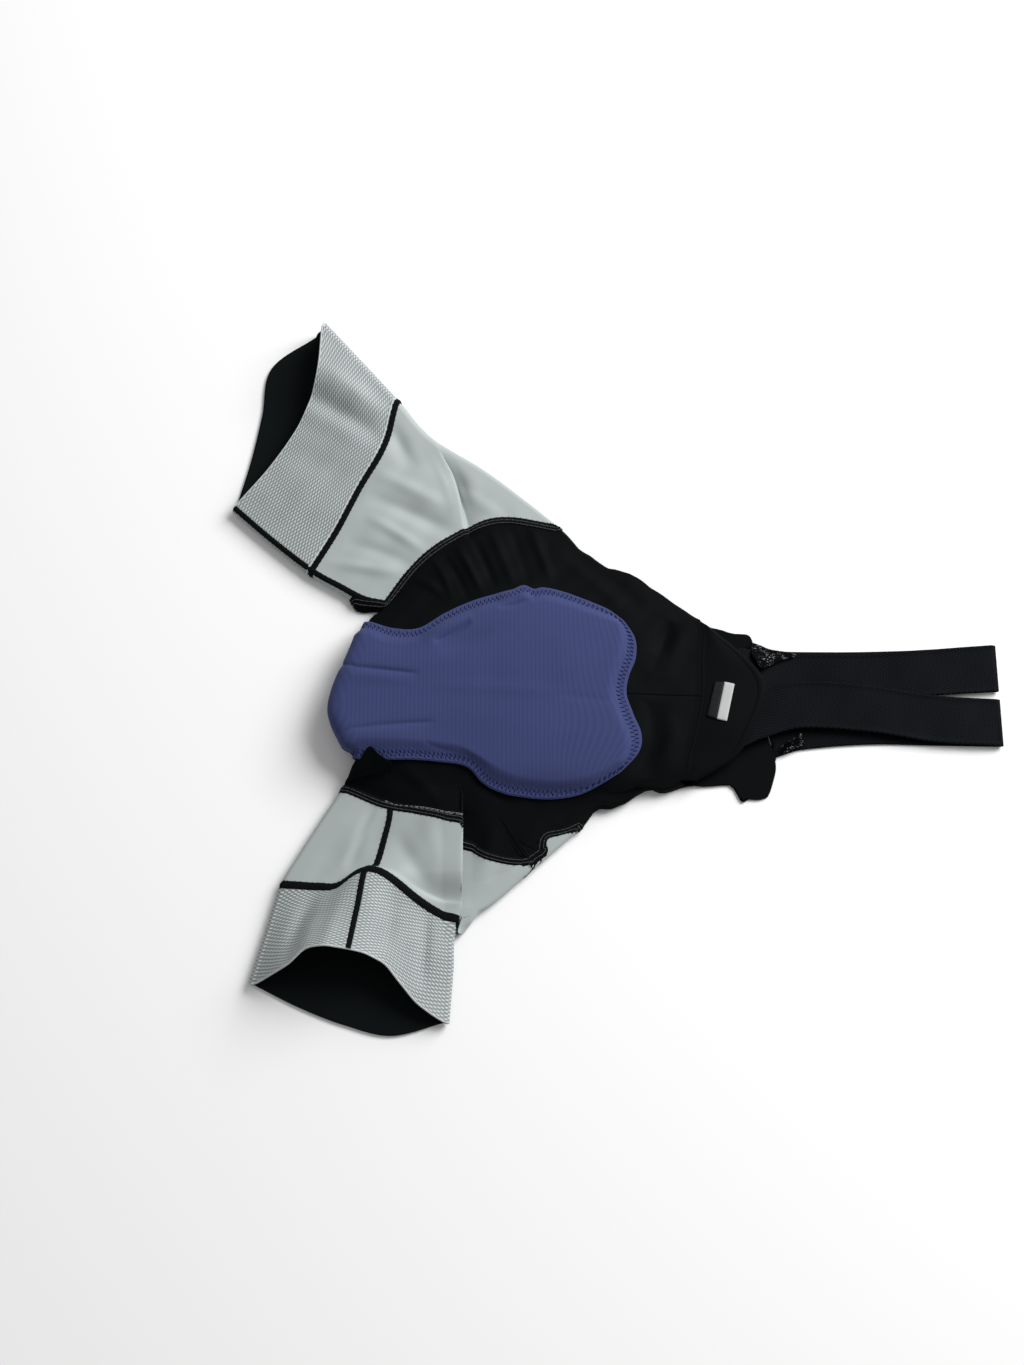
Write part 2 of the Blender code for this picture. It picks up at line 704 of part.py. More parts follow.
def add_pad(collection, material):
    """Make the seat pad, which lies on the seat and folds round the crotch."""
    stations = [station.along for station in PAD_OUTLINE]
    lows = [station.low for station in PAD_OUTLINE]
    highs = [station.high for station in PAD_OUTLINE]
    grid, weights = [], []
    last = len(stations) - 1
    for distance in PAD_STEPS:
        place = station_at(stations, distance)
        low, high = spline(lows, place), spline(highs, place)
        line, line_weights = [], []
        for step in range(PAD_COLUMNS + 1):
            crowded = 0.5 - 0.5 * math.cos(math.pi * step / PAD_COLUMNS)
            across = PAD_EDGE_CROWDING * crowded + (1.0 - PAD_EDGE_CROWDING) * step / PAD_COLUMNS
            y = low + (high - low) * across
            rear = smooth_step((place - last) / REAR_STATIONS + 1.0)
            reach = spline(PAD_REAR, across * (len(PAD_REAR) - 1))
            along = distance + rear * reach
            row = row_at(along, y)
            point = cloth_point(row, along)
            line.append(point + cloth_normal(row, along) * PAD_GAP)
            from_side = (high - low) * min(across, 1.0 - across)
            from_end = min(along - stations[0], stations[last] + reach - along)
            border = min(from_side, from_end) / PAD_BORDER
            line_weights.append(PAD_EDGE_SHARE + (1.0 - PAD_EDGE_SHARE) * smooth_step(border))
        grid.append(line)
        weights.append(line_weights)
    return add_sheet(collection, "seat_pad", grid, PAD_THICKNESS, material, outward=1.0, weights=weights)


def strap_line(run, x, lower):
    """Return the centre of a strap's upper or lower run at a distance along the garment."""
    xs = [stop.x for stop in run]
    place = 0.0
    for number in range(len(xs) - 1):
        if xs[number] <= x:
            place = number + min(1.0, (x - xs[number]) / (xs[number + 1] - xs[number]))
    if lower:
        return Vector((x, spline([stop.lower_y for stop in run], place), 0.0))
    heights = [stop.upper_z for stop in run]
    return Vector((x, spline([stop.upper_y for stop in run], place), spline(heights, place)))


def waist_x(y):
    """Return how far the front panel's waist edge reaches at a place across."""
    row = find_row("right_yoke_end", "left_yoke_end", lambda middle: edges(middle)[2].y > y)
    return edges(row)[2].x


def strap_centres(run):
    """Return a strap's centre line: its upper run, its shoulder fold and its lower run."""
    back_x, fold_x = run[0].x, run[-1].x
    front_x = waist_x(run[1].lower_y)
    shares = [step / STRAP_STEPS for step in range(STRAP_STEPS + 1)]
    upper = [strap_line(run, back_x + (fold_x - back_x) * share, False) for share in shares]
    lower = [strap_line(run, fold_x + (front_x - fold_x) * share, True) for share in shares]
    radius = 0.5 * upper[-1].z
    shoulder = []
    for step in range(1, SHOULDER_STEPS):
        share = step / SHOULDER_STEPS
        centre = upper[-1].lerp(lower[0], share)
        centre.x = fold_x + SHOULDER_ROUND * radius * math.sin(math.pi * share)
        centre.z = radius + radius * math.cos(math.pi * share)
        shoulder.append(centre)
    return upper + shoulder + lower


def add_strap(collection, name, run, material):
    """Make one bib strap: a ribbon folded at the shoulder, with its lower run beneath.

    The upper run ends under the yoke, and the lower run meets the front panel.
    """
    offsets = [STRAP_WIDTH * (place / STRAP_COLUMNS - 0.5) for place in range(STRAP_COLUMNS + 1)]
    grid = [[centre + Vector((0.0, offset, 0.0)) for offset in offsets] for centre in strap_centres(run)]
    for point in grid[-1]:
        point.x = waist_x(point.y) + STRAP_SEAM_GAP
    return add_sheet(collection, name, grid, STRAP_THICKNESS, material)


def centre_on_base(collection):
    """Move the whole garment so that the origin is the middle of the face that it rests on."""
    graph = bpy.context.evaluated_depsgraph_get()
    corners = [corner for piece in collection.objects for corner in piece.evaluated_get(graph).bound_box]
    low = Vector([min(corner[axis] for corner in corners) for axis in range(3)])
    high = Vector([max(corner[axis] for corner in corners) for axis in range(3)])
    shift = Vector((-0.5 * (low.x + high.x), -0.5 * (low.y + high.y), -low.z))
    for piece in collection.objects:
        for vertex in piece.data.vertices:
            vertex.co += shift
    return shift


def add_legs(collection, band, grey):
    """Make the hem band and the grey panel of each leg."""
    right_band = even_rows("right_hem", "right_band_top", BAND_STEPS)
    left_band = even_rows("left_band_top", "left_hem", BAND_STEPS)
    add_leg_piece(collection, "right_leg_band", right_band, (False, True), BAND_THICKNESS, band)
    add_leg_piece(collection, "left_leg_band", left_band, (True, False), BAND_THICKNESS, band)
    right_panel = even_rows("right_band_top", "right_seam", LEG_STEPS)
    left_panel = even_rows("left_seam", "left_band_top", LEG_STEPS)
    add_leg_piece(collection, "right_leg_panel", right_panel, (True, True), KNIT_THICKNESS, grey)
    add_leg_piece(collection, "left_leg_panel", left_panel, (True, True), KNIT_THICKNESS, grey)


def main():
    """Build every piece of the garment and return how far it was moved to its origin."""
    clear_scene()
    collection = make_collection()
    black, strap = make_material(KNIT_BLACK), make_material(STRAP_BLACK)
    add_legs(collection, make_material(BAND_GREY), make_material(KNIT_GREY))
    add_seat_half(collection, "seat_right", "right_seam", "centre_back", black)
    add_seat_half(collection, "seat_left", "centre_back", "left_seam", black)
    add_front(collection, black)
    add_yoke(collection, black)
    add_pad(collection, make_material(PAD_BLUE))
    add_strap(collection, "right_strap", RIGHT_STRAP, strap)
    add_strap(collection, "left_strap", LEFT_STRAP, strap)
    add_label(collection, "label_dark", DARK_LABEL, make_material(LABEL_BLACK))
    add_label(collection, "label_white", WHITE_LABEL, make_material(LABEL_WHITE))
    return centre_on_base(collection)


LAYOUT_SHIFT = main()
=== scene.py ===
"""Looks of cycling bib shorts that lie flat, turned inside out, with the seat up.

The cloth is one long sweep of flattened rings, from the hem of the right leg
through the seat to the hem of the left leg. Every panel, seam and stitch is
laid on that sweep. Plan sizes and heights are in millimetres on the surface
that the shorts lie on: +X from the crotch to the shoulders, +Y to the right
leg, +Z up. LAYOUT_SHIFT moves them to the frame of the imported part.
"""
from __future__ import annotations

import logging
import math
from collections.abc import Callable
from dataclasses import astuple, dataclass, field
from enum import Enum

import bmesh
import bpy
import numpy as np
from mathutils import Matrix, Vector

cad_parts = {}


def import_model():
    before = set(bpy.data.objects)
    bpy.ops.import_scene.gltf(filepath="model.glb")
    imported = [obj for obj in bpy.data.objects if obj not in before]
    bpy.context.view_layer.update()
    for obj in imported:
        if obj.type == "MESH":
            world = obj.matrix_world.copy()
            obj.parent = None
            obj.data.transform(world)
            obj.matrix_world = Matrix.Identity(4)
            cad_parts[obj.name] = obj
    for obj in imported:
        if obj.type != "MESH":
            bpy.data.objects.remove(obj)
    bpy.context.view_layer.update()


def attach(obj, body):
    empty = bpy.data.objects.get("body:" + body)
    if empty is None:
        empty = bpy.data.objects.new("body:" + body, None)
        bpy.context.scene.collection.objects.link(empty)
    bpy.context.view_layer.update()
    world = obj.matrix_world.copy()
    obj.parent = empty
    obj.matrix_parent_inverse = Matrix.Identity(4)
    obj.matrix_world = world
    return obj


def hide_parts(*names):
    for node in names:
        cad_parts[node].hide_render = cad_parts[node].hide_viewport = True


LOGGER = logging.getLogger("bib_shorts")
BODY = "root"
MM = 0.001
LAYOUT_SHIFT = np.array([-87.77, -16.42, 0.0])
HALVINGS = 18

Array = np.ndarray
Piece = bpy.types.Object
Socket = bpy.types.NodeSocket
Pair = tuple[float, float]
Triple = tuple[float, float, float]
Stretch = tuple[float, float, int]


def smooth_step(value: Array) -> Array:
    """Ease values from 0 to 1."""
    value = np.clip(value, 0.0, 1.0)
    return value * value * (3.0 - 2.0 * value)


def unit(vectors: Array) -> Array:
    """Scale vectors in the last axis to length 1."""
    return vectors / np.maximum(np.linalg.norm(vectors, axis=-1, keepdims=True), 1e-9)


def spline(values: Array, place: Array) -> Array:
    """Read Catmull-Rom curves through evenly spaced values.

    Args:
        values: The values of each curve, in the last axis.
        place: Where to read, from 0 to the number of values less 1.

    Returns:
        One number for each place.
    """
    values, place = np.asarray(values, float), np.asarray(place, float)
    last = values.shape[-1] - 1
    shape = np.broadcast_shapes(values.shape[:-1], place.shape)
    place = np.broadcast_to(np.clip(place, 0.0, last), shape)
    before = 2.0 * values[..., :1] - values[..., 1:2]
    after = 2.0 * values[..., -1:] - values[..., -2:-1]
    padded = np.broadcast_to(np.concatenate([before, values, after], axis=-1), shape + (last + 3,))
    first = np.minimum(place.astype(int), last - 1)
    share = place - first
    stops = [np.take_along_axis(padded, (first + step)[..., None], axis=-1)[..., 0] for step in range(4)]
    slope_in, slope_out = 0.5 * (stops[2] - stops[0]), 0.5 * (stops[3] - stops[1])
    square, cube = share**2, share**3
    return (
        (2.0 * cube - 3.0 * square + 1.0) * stops[1]
        + (cube - 2.0 * square + share) * slope_in
        + (3.0 * square - 2.0 * cube) * stops[2]
        + (cube - square) * slope_out
    )


@dataclass(frozen=True)
class Section:
    """One flattened ring of the sweep.

    inner is the crotch or inseam edge and outer the side edge in plan; bow and
    under_bow move the quarter points of the upper and lower layer across the
    chord; lift is the upper layer's height at both edges and quarter points.
    """

    inner: Pair
    outer: Pair
    bow: Triple
    under_bow: Triple
    lift: tuple[float, float, float, float, float]
    waist: Pair | None = None


SECTIONS = tuple(Section(*values) for values in (
    ((-252, 160), (-171, 342), (-14, -21, -17), (7, 16, 26), (9, 15, 19, 31, 30)),
    ((-216, 128), (-136, 304), (-9, -12, -12), (4, 9, 14), (9, 13, 16, 25, 24)),
    ((-180, 99), (-103, 267), (-4, -5, -8), (1, 3, 5), (9, 11, 14, 18, 19)),
    ((-155, 84), (-73, 232), (0, 0, -2), (0, 1, 2), (9, 11, 13, 14, 14)),
    ((-135, 73), (-20, 197), (6, 8, 4), (4, 6, 4), (9, 11, 12, 12, 10)),
    ((-116, 67), (43, 145), (22, 31, 28), (18, 26, 22), (9, 11, 12, 10, 8)),
    ((-125, 56), (86, 105), (16, 20, 13), (13, 17, 11), (14, 15, 16, 12, 8)),
    ((-129, 44), (132, 82), (5, 6, 3), (4, 6, 3), (20, 19, 19, 15, 9)),
    ((-131, 30), (167, 53), (0, 0, 0), (0, 0, 0), (24, 22, 22, 18, 12), (184, 45)),
    ((-139.5, 6), (167, 17), (0, 0, 0), (0, 0, 0), (26, 24, 24, 20, 13), (212, 32)),
    ((-148, -15), (166, -17), (0, 0, 0), (0, 0, 0), (26, 24, 24, 20, 13), (214, -12)),
    ((-151, -34), (160, -46), (0, 0, 0), (0, 0, 0), (26, 24, 24, 20, 13), (222, -46)),
    ((-144, -51), (154, -69), (0, 0, 0), (0, 0, 0), (26, 23, 23, 19, 12), (227, -84)),
    ((-134, -70), (145, -94), (0, 0, 0), (0, 0, 0), (24, 22, 21, 16, 10), (188, -94)),
    ((-138, -81), (107, -104), (-2, -4, -6), (-2, -4, -6), (19, 20, 18, 12, 8)),
    ((-142, -90), (78, -116), (-6, -8, -18), (-6, -8, -12), (14, 17, 16, 10, 8)),
    ((-147, -99), (57, -135), (-10, -14, -40), (-8, -14, -26), (10, 13, 12, 8, 8)),
    ((-164, -126), (8, -178), (-3, -6, -18), (-3, -6, -12), (9, 13, 14, 8, 8)),
    ((-182, -156), (-22, -203), (2, 8, -2), (-1, -2, -2), (9, 13, 21, 10, 8)),
    ((-196, -182), (-46, -213), (7, 23, 12), (-3, -5, -5), (9, 15, 29, 19, 9)),
    ((-208, -224), (-49, -256), (18, 31, 17), (-7, -12, -12), (9, 28, 38, 21, 9)),
    ((-220, -266), (-52, -299), (30, 38, 22), (-11, -18, -19), (9, 42, 46, 23, 9)),
))


class Row(float, Enum):
    """Rows of the section table where panels meet."""

    RIGHT_HEM = 0.0
    RIGHT_BAND_TOP = 2.0
    RIGHT_SEAM = 5.0
    WAIST_RIGHT = 8.0
    CENTRE_BACK = 10.0
    WAIST_LEFT = 13.0
    LEFT_SEAM = 16.0
    LEFT_BAND_TOP = 19.0
    LEFT_HEM = 21.0


class FoldKind(Enum):
    """How a fold changes the upper layer."""

    SOFT = "soft"
    CREASE = "crease"
    STEP = "step"
    TUCK = "tuck"


SOFT, CREASE, STEP, TUCK = FoldKind


@dataclass(frozen=True)
class PlanCurve:
    """A curved line in plan, which the middle point pulls towards itself."""

    start: Pair
    middle: Pair
    end: Pair

    def line(self, share: Array) -> Array:
        """Return points in plan at shares of the line, from 0 to 1."""
        share = share[..., None]
        keep = 1.0 - share
        start, middle, end = (np.array(spot, float) for spot in (self.start, self.middle, self.end))
        return start * keep**2 + middle * 2.0 * keep * share + end * share**2

    def share_of(self, plan: Array) -> Array:
        """Return the share of the straight run beside which places in plan lie."""
        start = np.array(self.start, float)
        run = np.array(self.end, float) - start
        return ((plan - start) @ run) / (run @ run)


@dataclass(frozen=True)
class Fold(PlanCurve):
    """A fold along a curved line; a negative height makes a trough."""

    kind: FoldKind
    width: float
    height: float

    def height_at(self, plan: Array) -> Array:
        """Return the height that the fold adds at places in plan.

        Args:
            plan: Places in plan.

        Returns:
            Heights in millimetres.
        """
        share = self.share_of(plan)
        inside = (share > 0.0) & (share < 1.0)
        share = np.clip(share, 0.0, 1.0)
        away = plan - self.line(share)
        gap = np.linalg.norm(away, axis=-1)
        if self.kind is FoldKind.STEP:
            ends = smooth_step(share / 0.3) * smooth_step((1.0 - share) / 0.3)
            past = np.sign(away[..., 0]) * gap + 0.45 * self.width
            shape = smooth_step(1.0 - np.abs(past) / np.where(past > 0, 0.95 * self.width, 8.0 * self.width))
        elif self.kind is FoldKind.TUCK:
            ends = np.sin(math.pi * share) ** 0.5
            past = np.sign(away[..., 0]) * gap
            shape = np.where(past > 0.0, np.exp(-past / self.width), np.exp(-((past / 2.2) ** 2)))
        elif self.kind is FoldKind.CREASE:
            ends = np.sin(math.pi * share) ** 0.7
            shape = np.exp(-((gap / self.width) ** 1.15))
        else:
            ends = np.sin(math.pi * share)
            shape = np.exp(-((gap / self.width) ** 2))
        return np.where(inside, self.height * shape * ends, 0.0)


# Folds of the whole garment's lie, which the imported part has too.
MAIN_FOLDS = tuple(Fold(*values) for values in (
    ((-45, -96), (-44, -140), (-46, -206), STEP, 9, 10.0),
    ((-84, 236), (-56, 212), (-46, 168), SOFT, 11, -3.0),
    ((-62, 236), (-40, 205), (-30, 168), SOFT, 12, 2.5),
    ((141, 52), (136, 38), (128, 20), SOFT, 8, -2.5),
    ((124, -20), (130, -52), (110, -92), SOFT, 10, -3.0),
    ((140, -34), (142, -58), (126, -90), SOFT, 10, 2.0),
))

# Smaller creases and gathers of the upper layer.
SMALL_FOLDS = tuple(Fold(*values) for values in (
    # Right leg: the fold behind its side, soft drags on the grey panel, valley of the band
    ((-90, 258), (-46, 202), (-38, 132), TUCK, 10.0, -8.5),
    ((-88, 240), (-60, 204), (-52, 150), SOFT, 5.0, 1.4),
    ((-114, 254), (-102, 226), (-90, 196), SOFT, 9.0, -3.4),
    ((-132, 174), (-86, 156), (-46, 134), SOFT, 8.0, -3.4),
    ((-126, 196), (-92, 180), (-56, 160), SOFT, 7.0, 2.2),
    ((-172, 108), (-136, 106), (-92, 98), SOFT, 6.0, 2.2),
    ((-132, 154), (-100, 136), (-74, 116), SOFT, 5.5, 2.0),
    ((-150, 128), (-118, 122), (-84, 104), SOFT, 6.5, -1.8),
    ((-64, 190), (-34, 172), (-4, 150), SOFT, 7.0, 1.4),
    ((-200, 276), (-158, 256), (-112, 222), SOFT, 10.0, -6.5),
    ((-186, 296), (-144, 276), (-102, 246), SOFT, 10.0, 3.6),
    ((-214, 236), (-178, 226), (-138, 196), SOFT, 12.0, 1.8),
    # Left leg: drags beside the inseam, roll beside the step, fluting of the band
    ((-140, -172), (-129, -141), (-116, -112), SOFT, 5.5, -2.0),
    ((-148, -168), (-132, -146), (-112, -118), SOFT, 4.5, 1.2),
    ((-100, -136), (-90, -160), (-66, -192), SOFT, 8.0, -2.2),
    ((-50, -110), (-51, -160), (-52, -214), SOFT, 5.0, 1.8),
    ((-74, -122), (-66, -148), (-60, -178), SOFT, 8.0, 1.0),
    ((-38, -120), (-37, -160), (-44, -214), TUCK, 7.0, -3.0),
    ((-98, -186), (-104, -224), (-110, -270), SOFT, 8.0, -5.0),
    ((-70, -200), (-74, -230), (-74, -270), SOFT, 6.0, -4.0),
    ((-158, -182), (-178, -214), (-192, -252), SOFT, 8.0, -4.5),
    ((-140, -188), (-150, -224), (-160, -262), SOFT, 7.0, 2.0),
    ((-16, -122), (-18, -150), (-26, -186), SOFT, 8.0, 1.4),
    # Seat: gathers that run from the right leg's seam to the pad
    ((-92, 96), (-70, 88), (-56, 70), SOFT, 4.5, 1.5),
    ((-73, 115), (-58, 96), (-52, 66), SOFT, 3.6, 1.6),
    ((-63, 118), (-48, 98), (-38, 68), SOFT, 3.6, -1.5),
    ((-51, 128), (-37, 102), (-25, 74), SOFT, 4.0, 2.0),
    ((-36, 134), (-24, 110), (-14, 78), SOFT, 4.0, -1.8),
    ((-20, 143), (-11, 120), (2, 84), SOFT, 4.4, 2.1),
    ((-2, 144), (6, 122), (16, 84), SOFT, 4.2, -1.6),
    ((16, 146), (25, 120), (36, 86), SOFT, 4.6, 1.8),
    ((40, 120), (69, 100), (104, 54), SOFT, 7.0, 1.6),
    ((56, 126), (86, 98), (118, 62), SOFT, 6.0, -1.3),
    # Body: the corner under the yoke's right end, the drag at the left flank
    ((140, 54), (134, 34), (122, 4), CREASE, 4.0, -1.6),
    ((150, 44), (144, 20), (132, -6), SOFT, 7.0, 1.2),
    ((118, -22), (128, -56), (100, -96), CREASE, 4.5, -1.8),
    ((70, -84), (52, -98), (20, -112), SOFT, 6.5, 1.5),
    ((84, -98), (60, -112), (38, -128), SOFT, 5.0, -1.4),
    ((-100, -78), (-80, -92), (-58, -118), SOFT, 6.0, 1.3),
    ((-40, -82), (-20, -96), (6, -118), SOFT, 6.5, -1.3),
))


@dataclass(frozen=True)
class Overlap(PlanCurve):
    """Where the upper layer laps over itself beside a step.

    The cloth runs past the line by half of reach, doubles back under itself
    and runs on, so that the high side hangs over the low side.
    """

    width: float
    reach: float
    rise: float
    fade: float

    def lap(self, points: Array) -> Array:
        """Return points of the garment with the upper layer lapped over itself.

        Args:
            points: Points of the garment.

        Returns:
            The same points, moved.
        """
        plan = points[..., :2]
        share = self.share_of(plan)
        across = (plan - self.line(np.clip(share, 0.0, 1.0)))[..., 0]
        ends = smooth_step(share / self.rise) * smooth_step((1.12 - share) / self.fade)
        wave = np.where(np.abs(across) < self.width, np.sin(math.pi * across / self.width), 0.0)
        lapped = points.copy()
        lapped[..., 0] -= self.reach * wave * ends * smooth_step((points[..., 2] - 2.5) / 3.0)
        return lapped


OVERLAPS = (
    Overlap((-45, -92), (-44, -140), (-46, -218), 11.0, 8.0, 0.12, 0.2),
    Overlap((-76, 233), (-50, 200), (-42, 152), 5.5, 4.2, 0.5, 0.7),
)

# Along X: the flank's line in plan and how far the cloth stands out from it.
RIGHT_FLANK = (
    (36, 148, 0.0), (49, 136, -1.0), (55, 131, -2.6), (60, 126, -4.2), (65, 121, -2.8), (70, 115, -0.6),
    (86, 104, 0.8), (92, 101, 3.7), (97, 99, 4.8), (105, 94, 5.8), (113, 91, 4.6), (118, 88, 2.8),
    (123, 86, 0.2), (134, 80, -0.9), (144, 74, -2.6), (160, 62, -2.6), (168, 55, -0.8), (176, 49, 0.4),
    (181, 46, 3.0), (187, 44, 4.8), (197, 41, 5.2), (204, 38, 6.5), (211, 35, 9.0), (218, 30, 8.0),
    (226, 27, 3.0),
)
LEFT_FLANK = (
    (62, -134, 0.0), (70, -124, -3.2), (76, -119, -1.8), (81, -115, 2.0), (86, -113, 4.6), (97, -109, 4.6),
    (102, -107, 2.8), (107, -106, 0.0), (113, -105, -2.0), (118, -104, -4.6), (123, -103, -2.6),
    (128, -102, 1.0), (136, -101, 0.8), (144, -100, -1.9), (152, -99, -2.8), (160, -99, -2.8),
    (166, -98, -0.9), (187, -96, -0.9), (192, -96, 2.2), (197, -100, 3.6), (203, -108, -2.0),
    (212, -108, 0.0),
)

# Over the left leg's upper layer, at even shares of it: the wave of the hem and of the band's seam.
LEFT_HEM_WAVE = (0.0, -1.8, -2.6, 2.8, 1.8, 0.2, 0.4, 3.0, 5.4, 0.4, -4.0, -3.0, 0.0)
LEFT_SEAM_WAVE = (0.0, -0.6, -1.4, -3.4, 1.6, 1.6, 0.4, -0.4, -2.4, -2.4, -1.0)


@dataclass
class ClothForm:
    """The outer surface of the sweep.

    A place on it is a row of the section table and a turn round the ring: 0 to
    1 on the upper layer from the inner edge, 1 to 2 round the side fold, 2 to 3
    back along the lower layer, and 3 to 4 round the inner fold.
    """

    sections: tuple[Section, ...] = SECTIONS
    folds: tuple[Fold, ...] = MAIN_FOLDS + SMALL_FOLDS
    waist_turn: float = 0.4
    pad_raise: float = 8.0
    pad_rear: float = -32.0
    pad_middle: float = -15.0
    pad_half_width: float = 82.0
    crotch_turn: float = 14.0
    crotch_stand_out: float = 12.0
    mouth_gape: Pair = (-8.5, 3.6)
    flap_drop: float = 16.0
    lobe_size: float = 16.0
    flank_depth: float = 24.0
    wobble: float = 0.35

    def __post_init__(self) -> None:
        """Turn the section table into one array for each of its columns."""
        rows = self.sections
        self.inner_edge = np.array([row.inner for row in rows], float).T
        self.outer_edge = np.array([row.outer for row in rows], float).T
        self.waist_edge = np.array([row.waist or row.outer for row in rows], float).T
        self.bows = np.array([row.bow for row in rows], float).T
        self.under_bows = np.array([row.under_bow for row in rows], float).T
        self.lifts = np.array([row.lift for row in rows], float).T
        self.ring_lengths = self.stretch_lengths()

    @staticmethod
    def edge(table: Array, row: Array) -> Array:
        """Return plan points of an edge table at rows."""
        return np.stack([spline(table[0], row), spline(table[1], row)], axis=-1)

    def opened(self, row: Array) -> Array:
        """Return 1 at rows where the ring is open at the waist and 0 at its side folds."""
        first = (row - Row.WAIST_RIGHT.value) / self.waist_turn + 1.0
        last = (Row.WAIST_LEFT.value - row) / self.waist_turn + 1.0
        return smooth_step(first) * smooth_step(last)

    @staticmethod
    def bulge(height: Array) -> Array:
        """Return how far a side fold rounds out for its height."""
        return np.minimum(0.5 * height, 5.0 + 0.1 * height)

    def pad_bed(self, x: Array, y: Array) -> Array:
        """Return how far the pad beneath raises the lower layer, at places along and across."""
        along = smooth_step((self.pad_rear - x) / 20.0)
        across = smooth_step((self.pad_half_width - np.abs(y - self.pad_middle)) / 18.0)
        return self.pad_raise * along * across

    def floor_at_inner(self, row: Array) -> Array:
        """Return the lower layer's height at the inner edge."""
        inner = self.edge(self.inner_edge, row)
        return self.pad_bed(inner[..., 0] + 9.0, inner[..., 1])

    @staticmethod
    def frame_of(start: Array, end: Array) -> tuple[Array, Array]:
        """Return the direction of chords and their normals in plan."""
        chord = unit(end - start)
        return chord, np.stack([-chord[..., 1], chord[..., 0]], axis=-1)

    @staticmethod
    def across(table: Array, row: Array, share: Array, ends: bool) -> Array:
        """Read a table with a value at each quarter of a section.

        Args:
            table: One line of row values for each quarter point.
            row: Rows to read.
            share: Shares of the section to read.
            ends: Whether the section's ends have a value of 0 of their own.

        Returns:
            One number for each place.
        """
        stops = [spline(values, row) for values in table]
        if ends:
            stops = [np.zeros_like(stops[0]), *stops, np.zeros_like(stops[0])]
        return spline(np.stack(stops, axis=-1), 4.0 * share)

    def layer(self, row: Array, share: Array, outer_edge: Array, bows: Array, stand_out: Array) -> Array:
        """Return places in plan of one layer, between its side folds.

        Args:
            row: Rows of the sweep.
            share: Shares of the layer, from its inner edge.
            outer_edge: The table of the layer's outer edge.
            bows: The table of how far its quarter points are moved.
            stand_out: How far its inner edge stands out beyond the other layer's.

        Returns:
            Places in plan.
        """
        inner, outer = self.edge(self.inner_edge, row), self.edge(outer_edge, row)
        chord, normal = self.frame_of(inner, outer)
        lift_in, lift_out = spline(self.lifts[0], row), spline(self.lifts[4], row)
        start = inner + chord * (self.bulge(lift_in - self.floor_at_inner(row)) - stand_out)[..., None]
        end = outer - chord * self.bulge(lift_out)[..., None]
        bow = self.across(bows, row, share, True)
        return start + (end - start) * share[..., None] + normal * bow[..., None]

    def upper(self, row: Array, share: Array) -> Array:
        """Return points of the upper layer.

        Args:
            row: Rows of the sweep.
            share: Shares of the layer, from its inner edge.

        Returns:
            Points with a height.
        """
        plan = self.layer(row, share, self.outer_edge, self.bows, np.zeros_like(row))
        height = self.across(self.lifts, row, share, False)
        near_edge = np.minimum(6.0 * share, 6.0 * (1.0 - share) + self.opened(row))
        window = smooth_step(np.minimum(1.0, near_edge))
        relief = sum(fold.height_at(plan) for fold in self.folds)
        x, y = plan[..., 0], plan[..., 1]
        relief = relief + self.wobble * (
            np.sin(x / 9.0 + 0.7 * np.sin(y / 13.0)) * np.sin(y / 11.0 + 0.9 * np.sin(x / 17.0))
            + 0.6 * np.sin(x / 4.7 - y / 6.1 + 1.3 * np.sin(y / 23.0))
        )
        height = height + relief * window
        return np.stack([x, np.broadcast_to(y, height.shape), height], axis=-1)

    def under(self, row: Array, share: Array) -> Array:
        """Return points of the lower layer, at rows and at shares from its inner edge."""
        stand_out = self.crotch_stand_out * np.exp(-(((row - 4.4) / 0.75) ** 2))
        plan = self.layer(row, share, self.waist_edge, self.under_bows, stand_out)
        height = self.pad_bed(plan[..., 0], plan[..., 1])
        return np.concatenate([plan, height[..., None]], axis=-1)

    def side(self, row: Array, turn: Array, outer_side: bool) -> Array:
        """Return points of a side fold, from the upper layer (0) to the lower (1).

        Args:
            row: Rows of the sweep.
            turn: Shares of the fold.
            outer_side: Whether it is the outer fold.

        Returns:
            Points with a height.
        """
        end = np.full_like(row, 1.0 if outer_side else 0.0)
        upper, lower = self.upper(row, end), self.under(row, end)
        inner, outer = self.edge(self.inner_edge, row), self.edge(self.outer_edge, row)
        chord, _ = self.frame_of(inner, outer)
        outward = chord if outer_side else -chord
        opened = self.opened(row) if outer_side else np.zeros_like(row)
        if outer_side:
            lift = spline(self.lifts[4], row)
        else:
            lift = spline(self.lifts[0], row) - self.floor_at_inner(row)
        angle = math.pi * turn
        blend = 0.5 * (1.0 - np.cos(angle))
        keep = (1.0 - opened)[..., None]
        high = (turn <= 0.5)[..., None]
        plan_upper, plan_lower = upper[..., :2], lower[..., :2]
        far = np.where(high, plan_upper + (plan_lower - plan_upper) * keep, plan_lower)
        near = np.where(high, plan_upper, plan_lower + (plan_upper - plan_lower) * keep)
        reach = np.sin(angle) * (1.0 - opened) + (1.0 - np.abs(2.0 * turn - 1.0)) * opened
        plan = near + (far - near) * blend[..., None] + outward * (self.bulge(lift) * reach)[..., None]
        height = upper[..., 2] + (lower[..., 2] - upper[..., 2]) * blend
        level = np.where(turn <= 0.5, upper[..., 2], lower[..., 2])
        height = height + opened * (level - height)
        return np.concatenate([plan, height[..., None]], axis=-1)

